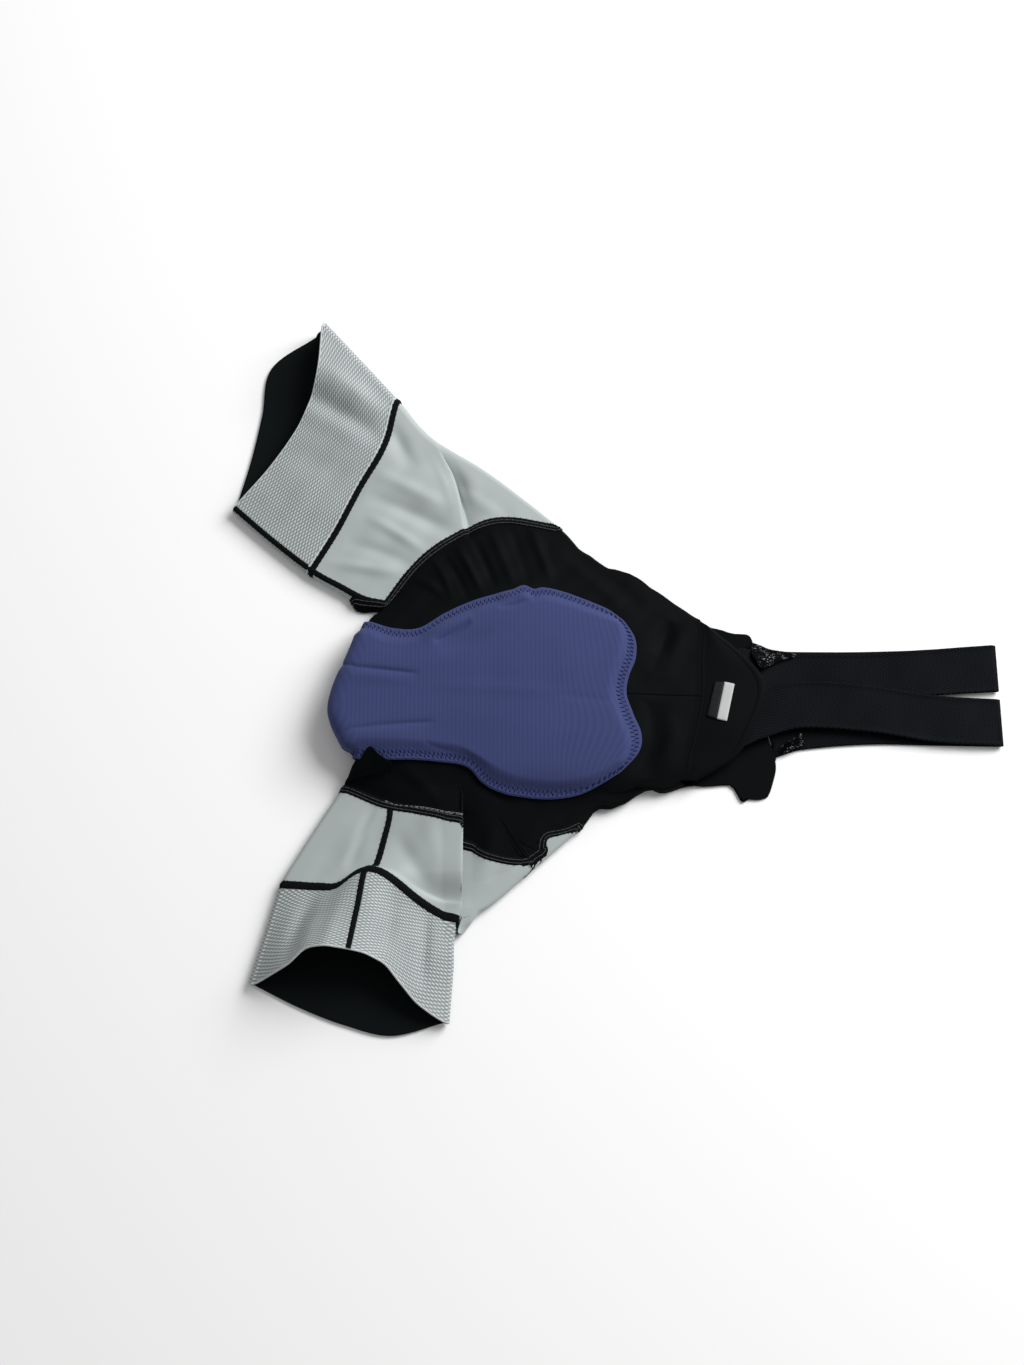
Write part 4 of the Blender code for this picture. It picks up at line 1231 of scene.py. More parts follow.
@dataclass
class LegPanel(Panel):
    """A closed panel of one leg, black on the side that faces inwards."""

    finish: Finish
    thickness: float
    upper_columns: int = 150
    side_columns: int = 10
    under_columns: int = 60

    def build(self, form: ClothForm, maker: ClothMesh) -> Piece:
        """Build the panel as a tube of the sweep."""
        columns = (self.upper_columns, self.side_columns, self.under_columns, self.side_columns)
        points = self.points(form, tuple((turn, turn + 1.0, count) for turn, count in enumerate(columns)))
        round_it, along = lengths_along(points, 1).mean(0), lengths_along(points, 0).mean(1)
        cloth = tuple(np.broadcast_arrays(round_it[None, :], along[:, None]))
        piece = maker.grid(f"{self.name}_cloth", points, self.finish, closed=True, cloth=cloth)
        maker.thicken(piece, self.thickness, INNER_BLACK)
        return CUTS[self.name].declare(settle(piece, self.finish, self.name))


@dataclass
class BodyPanel(Panel):
    """An open panel of the body between two rows and two turns."""

    stretches: tuple[Stretch, ...]
    finish: Finish = SOFT_BLACK
    thickness: float = 1.2

    def build(self, form: ClothForm, maker: ClothMesh) -> Piece:
        """Build the panel as a sheet of the sweep."""
        piece = maker.grid(f"{self.name}_cloth", self.points(form, self.stretches), self.finish)
        maker.thicken(piece, self.thickness)
        return CUTS[self.name].declare(settle(piece, self.finish, self.name))


@dataclass(frozen=True)
class ClothPath:
    """A path on the sweep through places given by row and turn."""

    rows: tuple[float, ...]
    turns: tuple[float, ...]
    closed: bool = False
    easing: float = 9.0

    def sample(self, form: ClothForm, pitch: float) -> tuple[Array, Array]:
        """Return rows and turns spaced evenly along the path on the cloth.

        Args:
            form: The cloth.
            pitch: The space between places, in millimetres.

        Returns:
            Rows and turns.
        """
        stops = np.arange(len(self.rows))
        fine = np.linspace(0.0, stops[-1], 30 * len(stops))
        if self.closed:
            rows, turns = np.interp(fine, stops, self.rows), np.interp(fine, stops, self.turns)
        else:
            rows, turns = spline(np.array(self.rows), fine), spline(np.array(self.turns), fine)
        run = np.linalg.norm(np.diff(form.point(rows, turns), axis=0), axis=-1)
        run = np.concatenate([[0.0], np.cumsum(run)])
        stops = np.linspace(0.0, run[-1], max(4, int(run[-1] / pitch)) + 1)
        rows, turns = np.interp(stops, run, rows), np.interp(stops, run, turns)
        if self.closed:
            rows, turns = (self.rounded(values, int(0.5 * self.easing / pitch)) for values in (rows, turns))
        return rows, turns

    @staticmethod
    def rounded(values: Array, reach: int) -> Array:
        """Return the means of a closed path's values over some places to each side."""
        lap = values[-1] - values[0]
        ahead, behind = values[1:reach + 1] + lap, values[-reach - 1:-1] - lap
        sums = np.cumsum(np.concatenate([[0.0], behind, values, ahead]))
        width = 2 * reach + 1
        return (sums[width:] - sums[:-width]) / width


def ring_path(seam: SeamLine) -> ClothPath:
    """Return the closed path of a seam round the whole ring."""
    turns = np.union1d(np.linspace(0.0, 4.0, 161), np.array(seam.stops)[:, 0])
    rows = seam.row_at(turns)
    rows[-1] = rows[0]
    return ClothPath(tuple(rows), tuple(seam.leaned(rows, turns)), True)


@dataclass(frozen=True)
class Ply:
    """A thread: the space between its points, its radius and its finish."""

    pitch: float
    radius: float
    finish: Finish


LOOP_PLY = Ply(1.25, 0.26, THREAD_BLACK)
CHAIN_PLY = Ply(0.75, 0.30, THREAD_DIM)
# Heights of one chain stitch above the ridge, which dips at its end.
CHAIN_STITCH = np.array([0.12, 0.30, 0.30, 0.30, 0.12, -0.35])


@dataclass
class Overlock:
    """A seam's band of overlock thread: a low ridge with loops across it and a chain along it."""

    name: str
    path: ClothPath
    width: float
    height: float
    chains: tuple[float, ...] = ()
    edging: float | None = None
    chain_ply: Ply = CHAIN_PLY
    pitch: float = 1.5
    sunk: float = 0.08
    loop_overhang: float = 0.35
    edging_size: Pair = (1.7, 0.75)

    def sideways(self, form: ClothForm, rows: Array, turns: Array) -> Array:
        """Return the direction across the seam at each point of its path."""
        points = form.point(rows, turns)
        if self.path.closed:
            points = np.concatenate([points[-2:-1], points, points[1:2]])
            tangent = unit(points[2:] - points[:-2])
        else:
            tangent = unit(np.gradient(points, axis=0))
        return unit(np.cross(form.basis(rows, turns)[2], tangent))

    def strip(self, form: ClothForm, maker: ClothMesh, name: str, offset: float, size: Pair,
              finish: Finish) -> Piece:
        """Lay a low ridge beside the path.

        Args:
            form: The cloth that it lies on.
            maker: Makes the mesh objects.
            name: The object's name.
            offset: How far beside the path its middle lies.
            size: Its width and height.
            finish: The fabric.

        Returns:
            The ridge.
        """
        rows, turns = self.path.sample(form, self.pitch)
        spread = np.linspace(-1.0, 1.0, 9)
        raised = size[1] * (1.0 - spread**4) - self.sunk
        side = self.sideways(form, rows, turns)
        points = form.beside(rows, turns, side, (offset + 0.5 * size[0] * spread)[None, :], raised[None, :])
        return settle(maker.grid(name, points[:, ::-1], finish), finish)

    def thread(self, form: ClothForm, maker: ClothMesh, name: str, offset: Array, raised: Array,
               ply: Ply) -> Piece:
        """Run a thread along the path.

        Args:
            form: The cloth that it lies on.
            maker: Makes the mesh objects.
            name: The object's name.
            offset: Sideways distances that repeat along the path.
            raised: Heights that repeat along the path.
            ply: The thread.

        Returns:
            The thread's object.
        """
        rows, turns = self.path.sample(form, ply.pitch)
        side = self.sideways(form, rows, turns)
        steps = np.arange(len(rows))
        offsets, heights = offset[steps % len(offset)], raised[steps % len(raised)]
        points = form.beside(rows, turns, side, offsets[:, None], heights[:, None])[:, 0]
        return settle(maker.tube(name, points, ply.radius, ply.finish, sides=5), ply.finish)

    def build(self, form: ClothForm, maker: ClothMesh) -> None:
        """Build the ridge, its loops, its chains and the light edge beside it."""
        self.strip(form, maker, f"{self.name}_ridge", 0.0, (self.width, self.height), SEAM_BLACK)
        reach, top = 0.5 * self.width + self.loop_overhang, self.height + 0.1
        offset, raised = np.array([-reach, 0.0, reach, 0.0]), np.array([0.15, top, 0.15, top])
        self.thread(form, maker, f"{self.name}_loops", offset, raised, LOOP_PLY)
        for number, place in enumerate(self.chains):
            name, raised = f"{self.name}_chain_{number}", self.height + CHAIN_STITCH
            self.thread(form, maker, name, np.array([place]), raised, self.chain_ply)
        if self.edging is not None:
            self.strip(form, maker, f"{self.name}_edging", self.edging, self.edging_size, EDGE_GREY)


@dataclass
class HemEdge:
    """The light elastic edge round the mouth of one leg."""

    name: str
    row: Row
    inward: float
    radius: float = 0.95
    wall: float = 1.6
    pitch: float = 1.6
    thinning: float = 0.55

    def build(self, form: ClothForm, maker: ClothMesh) -> Piece:
        """Build the edge as a cord in the middle of the cloth's wall, thinner beneath."""
        rows, turns = ring_path(straight(self.row)).sample(form, self.pitch)
        inside_ends = np.clip(rows, Row.RIGHT_HEM + 0.02, Row.LEFT_HEM - 0.02)
        along, _, normal = form.basis(inside_ends, turns)
        centre = form.point(rows, turns) - normal * 0.5 * self.wall + unit(along) * self.inward
        centre[:, 2] = np.maximum(centre[:, 2], 0.0)
        beneath = smooth_step((turns - 1.6) / 0.5) * smooth_step((3.7 - turns) / 0.4)
        radius = (self.radius * (1.0 - self.thinning * beneath))[:-1, None, None]
        piece = maker.tube(f"{self.name}_edge", centre[:-1], radius, EDGE_GREY, sides=8, closed=True)
        return settle(piece, EDGE_GREY)


@dataclass(frozen=True)
class PadStation:
    """The seat pad's side edges at a distance along the cloth from the crotch fold."""

    along: float
    low: float
    high: float


PAD_STATIONS = tuple(PadStation(*values) for values in (
    (-96, -30, 4), (-86, -46, 18), (-60, -58, 30), (-25, -70, 42), (8, -75, 48), (32, -76, 41),
    (56, -76, 41), (80, -78, 56), (103, -82, 67), (125, -97, 74), (142, -104, 79), (151, -106, 83),
    (159, -107, 79.5), (168, -108, 81), (185, -108, 77), (205, -104, 69), (222, -93, 61), (236, -85, 50),
))

# How far the pad's rear edge reaches past its last station, at each eighth of its width.
PAD_REAR = (0.0, 22.5, 31.0, 25.5, 17.5, 15.5, 17.2, 12.8, 0.0)

PAD_FOLDS = tuple(Fold(*values) for values in (
    ((-145, 4), (-114, 2), (-80, -2), CREASE, 1.6, -3.4),
    ((-148, -4), (-118, -5), (-84, -8), SOFT, 6.0, 1.0),
    ((-144, -53), (-108, -47), (-66, -45), CREASE, 1.6, -3.4),
    ((-146, -57), (-112, -57), (-76, -53), SOFT, 6.0, 1.0),
    ((-68, 27), (-52, 33), (-36, 47), CREASE, 2.4, -4.6),
    ((-80, 32), (-58, 41), (-34, 54), SOFT, 6.0, 2.2),
    ((-64, 16), (-40, 26), (-16, 40), SOFT, 6.0, -1.4),
    ((-12, 60), (4, 62), (20, 70), CREASE, 2.0, -3.0),
    ((-14, 70), (4, 72), (18, 76), SOFT, 4.5, 2.2),
    ((-76, -62), (-66, -68), (-50, -70), CREASE, 1.8, -1.2),
    ((30, -20), (66, -24), (98, -26), SOFT, 3.5, -0.5),
    ((-120, 26), (-96, 22), (-70, 26), SOFT, 9.0, -1.2),
    ((-80, -14), (-20, -12), (50, -20), SOFT, 6.0, 0.9),
    ((-72, 16), (-30, 30), (0, 44), SOFT, 9.0, -0.9),
    ((36, 40), (50, 10), (48, -20), SOFT, 16.0, 0.7),
    ((-20, 30), (-16, 0), (-18, -40), SOFT, 14.0, -0.6),
))


@dataclass
class SeatPad:
    """The foam pad, ribbed on top, that lies on the seat and folds round the crotch."""

    thickness: float = 7.2
    gap: float = 0.8
    edge_share: float = 0.34
    brim: float = 3.5
    border: float = 13.0
    lines: int = 250
    columns: int = 130
    stitch_pitch: float = 3.7
    stitch_rows: tuple[Pair, ...] = ((1.9, 4.3), (4.5, 6.9))
    stitch_radius: float = 0.42
    stitch_depth: float = 0.9
    rim_radius: float = 1.15
    rim_points: int = 600
    side_runs: tuple[float, ...] = (340.0, 145.0, 340.0, 36.0)
    pucker: float = 0.25
    pucker_pitch: float = 6.3
    pucker_slant: float = 1.7
    corner: float = 0.36

    def __post_init__(self) -> None:
        """Keep the outline as arrays, and the plain form that the pad lies on."""
        self.stations, self.lows, self.highs = np.array([astuple(one) for one in PAD_STATIONS], float).T
        self.form = ClothForm(folds=MAIN_FOLDS, wobble=0.0)
        rows = np.linspace(3.0, 18.0, 151)
        start, end = np.zeros_like(rows), np.ones_like(rows)
        upper = self.form.upper(rows, end)[:, :2] - self.form.upper(rows, start)[:, :2]
        under = self.form.under(rows, end)[:, :2] - self.form.under(rows, start)[:, :2]
        self.length_rows = rows
        self.upper_length = np.linalg.norm(upper, axis=-1)
        self.under_length = np.linalg.norm(under, axis=-1)

    def turn_at(self, row: Array, along: Array) -> Array:
        """Return the turns of distances along rows from the crotch fold."""
        fold = self.form.crotch_turn
        beyond = np.abs(along) - fold
        upper = 4.0 + np.minimum(0.999, beyond / np.interp(row, self.length_rows, self.upper_length))
        under = 3.0 - np.minimum(0.999, beyond / np.interp(row, self.length_rows, self.under_length))
        return np.where(along > fold, upper, np.where(along < -fold, under, 3.5 + 0.5 * along / fold))

    def row_at(self, along: Array, y: Array) -> Array:
        """Return the rows whose cloth lies at distances along and places across."""
        def y_at(row: Array) -> Array:
            """Return the place across of rows at the distances along."""
            return self.form.point(row, self.turn_at(row, along))[..., 1]

        return halved(Row.RIGHT_SEAM, Row.LEFT_SEAM, y_at, y)

    def span(self, distance: Array) -> tuple[Array, Array, Array]:
        """Return the station place of distances and the pad's edges there."""
        place = np.interp(distance, self.stations, np.arange(len(self.stations)))
        return place, spline(self.lows, place), spline(self.highs, place)

    def surface(self, distance: Array, across: Array, lift: float = 0.0) -> tuple[Array, Array]:
        """Return the pad's lower and upper side.

        Args:
            distance: Distances along the cloth from the crotch fold.
            across: Shares of the pad's width.
            lift: Height above the upper side.

        Returns:
            Points of the lower and of the upper side.
        """
        place, low, high = self.span(distance)
        reach = spline(np.array(PAD_REAR), 8.0 * np.clip(across, 0.0, 1.0))
        rear = smooth_step((place - (len(self.stations) - 1)) / 3.0 + 1.0)
        along = distance + rear * reach
        row = self.row_at(along, low + (high - low) * across)
        turn = self.turn_at(row, along)
        base = self.form.point(row, turn)
        normal = self.form.basis(row, turn)[2]
        from_side = (high - low) * np.minimum(across, 1.0 - across)
        from_end = np.minimum(along - self.stations[0], self.stations[-1] + reach - along)
        inset = np.minimum(from_side, from_end)
        share = self.edge_share + (1.0 - self.edge_share) * smooth_step((inset - self.brim) / self.border)
        rounding = np.sin(math.pi * np.clip(along / self.form.crotch_turn, -1.0, 1.0)) ** 2
        rim = np.exp(-(((inset - 4.0) / 5.0) ** 2))
        slanted = distance + self.pucker_slant * across * (high - low)
        ripple = np.sin(2.0 * math.pi * slanted / self.pucker_pitch)
        height = self.thickness * share * (1.0 + self.corner * rounding) + rim * self.pucker * ripple
        height = height + sum(fold.height_at(base[..., :2]) for fold in PAD_FOLDS) * (along > 2.0)
        lower = base + normal * self.gap
        return lower, base + normal * (self.gap + height + lift)[..., None]

    def rib_place(self, distance: Array, across: Array) -> Array:
        """Return where places lie across the ribs, which run straight over the pad and on beneath it.

        Args:
            distance: Distances along the cloth from the crotch fold.
            across: Shares of the pad's width.

        Returns:
            Places in millimetres.
        """
        _, low, high = self.span(distance)
        row = self.row_at(distance, low + (high - low) * across)
        x = self.form.point(row, self.turn_at(row, distance))[..., 0]
        fold_x = self.form.point(row, np.full_like(row, 3.5))[..., 0]
        return np.where(distance > 0.0, x, 2.0 * fold_x - x)

    def outline(self, count: int, inset: float, phase: float = 0.0) -> tuple[Array, Array]:
        """Return places round the pad.

        Args:
            count: How many places.
            inset: Their distance from the pad's edge.
            phase: How far round the first place lies, as a share of one step.

        Returns:
            Distances along the cloth and shares of the width.
        """
        corners = self.stations[0], self.stations[-1]
        shares = (np.arange(count) + phase) / count
        runs = np.array(self.side_runs)
        side = np.searchsorted(np.cumsum(runs) / runs.sum(), shares, side="right")
        first = np.concatenate([[0.0], np.cumsum(runs)[:-1]]) / runs.sum()
        local = (shares - first[side]) / (runs[side] / runs.sum())
        reach = corners[1] - corners[0]
        distance = np.choose(side, [corners[0] + reach * local, np.full(count, corners[1]),
                                    corners[1] - reach * local, np.full(count, corners[0])])
        across = np.choose(side, [np.zeros(count), local, np.ones(count), 1.0 - local])
        _, low, high = self.span(distance)
        step = inset / (high - low)
        return np.clip(distance, corners[0] + inset, corners[1] - inset), np.clip(across, step, 1.0 - step)

    def build(self, maker: ClothMesh) -> Piece:
        """Build the pad as one closed piece."""
        distance = np.linspace(self.stations[0], self.stations[-1], self.lines)
        steps = np.linspace(0.0, 1.0, self.columns)
        across = 0.35 * (0.5 - 0.5 * np.cos(math.pi * steps)) + 0.65 * steps
        grid_distance, grid_across = np.meshgrid(distance, across, indexing="ij")
        lower, upper = self.surface(grid_distance, grid_across)
        _, low, high = self.span(grid_distance)
        cloth = (self.rib_place(grid_distance, grid_across), low + (high - low) * grid_across)
        points = np.concatenate([lower[:, ::-1], upper], axis=1)
        cloth_u = np.concatenate([cloth[0][:, ::-1], cloth[0]], axis=1)
        cloth_v = np.concatenate([cloth[1][:, ::-1], cloth[1]], axis=1)
        points, cloth_u, cloth_v = (
            np.concatenate([part, part[:, :1]], axis=1) for part in (points, cloth_u, cloth_v)
        )
        piece = maker.grid("seat_pad_cloth", points[:, ::-1], PAD_BLUE, closed=True,
                           cloth=(cloth_u[:, ::-1], cloth_v[:, ::-1]))
        maker.close(piece, self.end_faces())
        piece.data.shade_smooth()
        return settle(piece, PAD_BLUE, "seat_pad")

    def end_faces(self) -> list[list[int]]:
        """Return the corners of the faces that close the pad's front and rear edge between its sides."""
        around = 2 * self.columns
        return [
            [first + step, first + step + 1, first + around - 2 - step, first + around - 1 - step]
            for first in (0, (self.lines - 1) * around) for step in range(self.columns - 1)
        ]

    def stitch(self, maker: ClothMesh) -> None:
        """Build the two rows of stitches round the pad's brim, one thread for each row."""
        count = int(sum(self.side_runs) / self.stitch_pitch)
        for number, (outer, inner) in enumerate(self.stitch_rows):
            near = self.outline(count, outer, 0.5 * number)
            far = self.outline(count, inner, 0.5 * number)
            tops = [self.surface(*spot, lift=0.05)[1] for spot in (near, far)]
            sunk = [self.surface(*spot, lift=-self.stitch_depth)[1] for spot in (far, near)]
            path = np.stack([*tops, sunk[0], np.roll(sunk[1], -1, axis=0)], axis=1).reshape(-1, 3)
            name = f"seat_pad_stitch_{number}"
            settle(maker.tube(name, path, self.stitch_radius, PAD_THREAD, sides=5, closed=True), PAD_THREAD)

    def rim(self, maker: ClothMesh) -> Piece:
        """Build the cloth wrapped over the pad's outer edge."""
        lower, upper = self.surface(*self.outline(self.rim_points, 0.0))
        centre = 0.5 * (lower + upper)
        piece = maker.tube("seat_pad_rim", centre, self.rim_radius, PAD_BLUE, sides=8, closed=True)
        return settle(piece, PAD_BLUE)


@dataclass
class BackYoke:
    """The double cloth across the lower back, whose rounded edge lies over the straps."""

    edge: tuple[Triple, ...] = (
        (172, 50, 10.0), (208, 17, 12.0), (221, -9, 12.0),
        (209, -45, 12.0), (193, -71, 11.0), (158, -93, 9.0),
    )
    first: float = 8.04
    last: float = 12.97
    crown: float = 1.2
    ripple: float = 0.5
    hem_width: float = 7.0
    hem_height: float = 0.55
    seam_width: float = 3.2
    seam_height: float = 0.3
    lines: int = 110
    columns: int = 34
    ridge_lines: int = 180
    thickness: float = 1.2

    def surface(self, form: ClothForm, row: Array, share: Array, lift: float = 0.0) -> Array:
        """Return points of the yoke from its seam (0) to its free edge (1).

        Args:
            form: The cloth.
            row: Rows of the sweep.
            share: Shares of the way to the free edge.
            lift: Height above the yoke.

        Returns:
            Points with a height.
        """
        seam = form.point(row, np.full_like(row, 1.5))
        table = np.array(self.edge, float).T
        edge = np.stack([spline(values, row - Row.WAIST_RIGHT.value) for values in table], axis=-1)
        point = seam + (edge - seam) * share[..., None]
        point[..., 2] += self.crown * np.sin(math.pi * np.clip(share, 0.0, 1.0)) + lift
        wave = np.sin((row - 8.0) * 2.9) * np.sin(math.pi * np.clip(share, 0.0, 1.0))
        point[..., 2] += self.ripple * wave
        return point

    def place_of(self, form: ClothForm, plan: Array, lift: float) -> Array:
        """Return the points of the yoke above places in plan.

        Args:
            form: The cloth that the yoke is sewn to.
            plan: Places in plan.
            lift: Height of the points above the yoke.

        Returns:
            Points with a height.
        """
        share = np.full(plan.shape[:-1], 0.3)
        for _ in range(10):
            row = halved(
                Row.WAIST_RIGHT, Row.WAIST_LEFT,
                lambda at: self.surface(form, at, share)[..., 1], plan[..., 1],
            )
            seam = self.surface(form, row, np.zeros_like(share))
            edge = self.surface(form, row, np.ones_like(share))
            share = (plan[..., 0] - seam[..., 0]) / (edge[..., 0] - seam[..., 0])
        return self.surface(form, row, share, lift)

    def build(self, form: ClothForm, maker: ClothMesh) -> None:
        """Build the yoke, the hem along its free edge and the seam that joins it to the seat."""
        rows = np.linspace(self.first, self.last, self.lines)[:, None]
        share = np.linspace(0.012, 1.0, self.columns)[None, :]
        rows, share = np.broadcast_arrays(rows, share)
        piece = maker.grid("back_yoke_cloth", self.surface(form, rows, share), SOFT_BLACK)
        maker.thicken(piece, self.thickness)
        CUTS["back_yoke"].declare(settle(piece, SOFT_BLACK, "back_yoke"))
        self.lay(form, maker, "back_yoke_hem", 1.0, self.hem_width, self.hem_height, -0.5)
        self.lay(form, maker, "back_yoke_seam", 0.0, self.seam_width, self.seam_height, 0.0)

    def lay(self, form: ClothForm, maker: ClothMesh, name: str, at: float, width: float, height: float,
            shift: float) -> None:
        """Lay a low ridge along a line of the yoke.

        Args:
            form: The cloth that it lies on.
            maker: Makes the mesh objects.
            name: The object's name.
            at: The share of the yoke where it lies.
            width: Its width.
            height: Its height.
            shift: How far it is moved, in widths.
        """
        rows = np.linspace(self.first, self.last, self.ridge_lines)[:, None]
        spread = np.linspace(-1.0, 1.0, 9)[None, :]
        seam = self.surface(form, rows, np.zeros_like(rows))
        edge = self.surface(form, rows, np.ones_like(rows))
        length = np.linalg.norm(edge - seam, axis=-1)
        share = at + (0.5 * spread + shift) * width / length
        rows = np.broadcast_to(rows, share.shape)
        points = self.surface(form, rows, share)
        points[..., 2] += height * (1.0 - np.abs(spread) ** 3) - 0.06
        piece = maker.grid(name, points, SOFT_BLACK)
        settle(piece, SOFT_BLACK)


@dataclass(frozen=True)
class StrapRun:
    """A strap's upper and lower run at a distance along the garment."""

    x: float
    upper_y: float
    upper_z: float
    lower_y: float


@dataclass
class BibStrap:
    """One bib strap: a ribbon folded at the shoulder, with its lower run beneath."""

    name: str
    runs: tuple[StrapRun, ...]
    finish: Finish
    width: float = 42.0
    thickness: float = 1.1
    seam_gap: float = 1.2
    wave: float = 0.5
    edge_curl: float = 5.0
    upper_lines: int = 110
    lower_lines: int = 90
    fold_lines: int = 12
    columns: int = 26

    def centre(self, x: Array, lower: bool) -> Array:
        """Return points of the upper or lower run's centre line, at distances along the garment."""
        stops, upper_y, upper_z, lower_y = np.array([astuple(run) for run in self.runs], float).T
        place = np.interp(x, stops, np.arange(len(stops)))
        if lower:
            return np.stack([x, spline(lower_y, place), np.zeros_like(x)], axis=-1)
        return np.stack([x, spline(upper_y, place), spline(upper_z, place)], axis=-1)

    @staticmethod
    def waist_x(form: ClothForm, y: Array) -> Array:
        """Return how far the front panel's waist edge reaches at places across."""
        rows = np.linspace(Row.WAIST_RIGHT.value, Row.WAIST_LEFT.value, 400)
        edge = form.edge(form.waist_edge, rows)
        return np.interp(-y, -edge[:, 1], edge[:, 0])

    def build(self, form: ClothForm, maker: ClothMesh) -> Piece:
        """Build the ribbon from under the yoke, round the shoulder fold and back to the front panel."""
        back_x, fold_x = self.runs[0].x, self.runs[-1].x
        upper = self.centre(np.linspace(back_x, fold_x, self.upper_lines), False)
        front_x = float(self.waist_x(form, np.array([self.runs[1].lower_y]))[0])
        lower = self.centre(np.linspace(fold_x, front_x, self.lower_lines), True)
        radius = 0.5 * upper[-1, 2]
        angle = np.linspace(0.0, math.pi, self.fold_lines + 2)[1:-1]
        share = angle / math.pi
        turn = np.stack([
            fold_x + 1.5 * radius * np.sin(angle),
            upper[-1, 1] + (lower[0, 1] - upper[-1, 1]) * share,
            radius + radius * np.cos(angle),
        ], axis=-1)
        line = np.concatenate([upper, turn, lower])
        across = np.linspace(-0.5, 0.5, self.columns) * self.width
        points = np.repeat(line[:, None], len(across), axis=1)
        points[..., 1] += across
        points[-1, :, 0] = self.waist_x(form, points[-1, :, 1]) + self.seam_gap
        high = np.zeros(len(line))
        high[:len(upper)] = smooth_step(np.linspace(0.0, 6.0, len(upper)) - 0.6)
        x, y = points[..., 0], points[..., 1]
        ripple = np.sin(x / 11.0 + y / 16.0) + 0.6 * np.sin(x / 5.3 - y / 9.0)
        curl = np.maximum(0.0, np.abs(across) / (0.5 * self.width) - 0.82) * self.edge_curl
        points[..., 2] += high[:, None] * (self.wave * ripple * 0.5 + curl[None, :])
        piece = maker.grid(f"{self.name}_cloth", points, self.finish)
        maker.thicken(piece, self.thickness)
        return CUTS[self.name].declare(settle(piece, self.finish, self.name))


@dataclass
class WovenLabel:
    """A bare woven label sewn to the yoke."""

    name: str
    corners: tuple[Pair, Pair, Pair, Pair]
    finish: Finish
    lift: float
    thickness: float = 0.5
    length: float = 36.0
    width: float = 9.0
    lines: int = 34
    columns: int = 12

    def build(self, form: ClothForm, yoke: BackYoke, maker: ClothMesh) -> Piece:
        """Build the label on the yoke, with its edges turned down."""
        along = np.linspace(0.0, 1.0, self.lines)[:, None, None]
        across = np.linspace(0.0, 1.0, self.columns)[None, :, None]
        corner = [np.array(spot, float) for spot in self.corners]
        near = corner[0] + (corner[3] - corner[0]) * along
        far = corner[1] + (corner[2] - corner[1]) * along
        plan = near + (far - near) * across
        points = yoke.place_of(form, plan, self.lift)
        from_end = self.length * np.minimum(along, 1.0 - along)[..., 0]
        edge = np.minimum(from_end, self.width * np.minimum(across, 1.0 - across)[..., 0])
        points[..., 2] += 0.25 * smooth_step(edge / 1.2) + 0.12 * np.sin(along[..., 0] * 9.0)
        piece = maker.grid(f"{self.name}_cloth", points, self.finish)
        maker.thicken(piece, self.thickness, outward=1.0)
        return CUTS[self.name].declare(settle(piece, self.finish, self.name))


@dataclass
class LaidPatch:
    """A small sheet between a row of base points and a row of edge points."""

    name: str
    base: tuple[Triple, ...]
    edge: tuple[Triple, ...]
    finish: Finish
    crown: float = 1.0
    thickness: float = 0.6
    lines: int = 40
    columns: int = 16

    def build(self, maker: ClothMesh) -> Piece:
        """Build the sheet, crowned between its two sides."""
        place = np.linspace(0.0, len(self.base) - 1.0, self.lines)
        base, edge = (np.stack([spline(values, place) for values in np.array(side, float).T], axis=-1)
                      for side in (self.base, self.edge))
        share = np.linspace(0.0, 1.0, self.columns)[None, :, None]
        points = base[:, None] + (edge - base)[:, None] * share
        points[..., 2] += self.crown * np.sin(math.pi * share[..., 0])
        piece = maker.grid(f"{self.name}_cloth", points, self.finish)
        maker.thicken(piece, self.thickness)
        return CUTS[self.name].declare(settle(piece, self.finish))


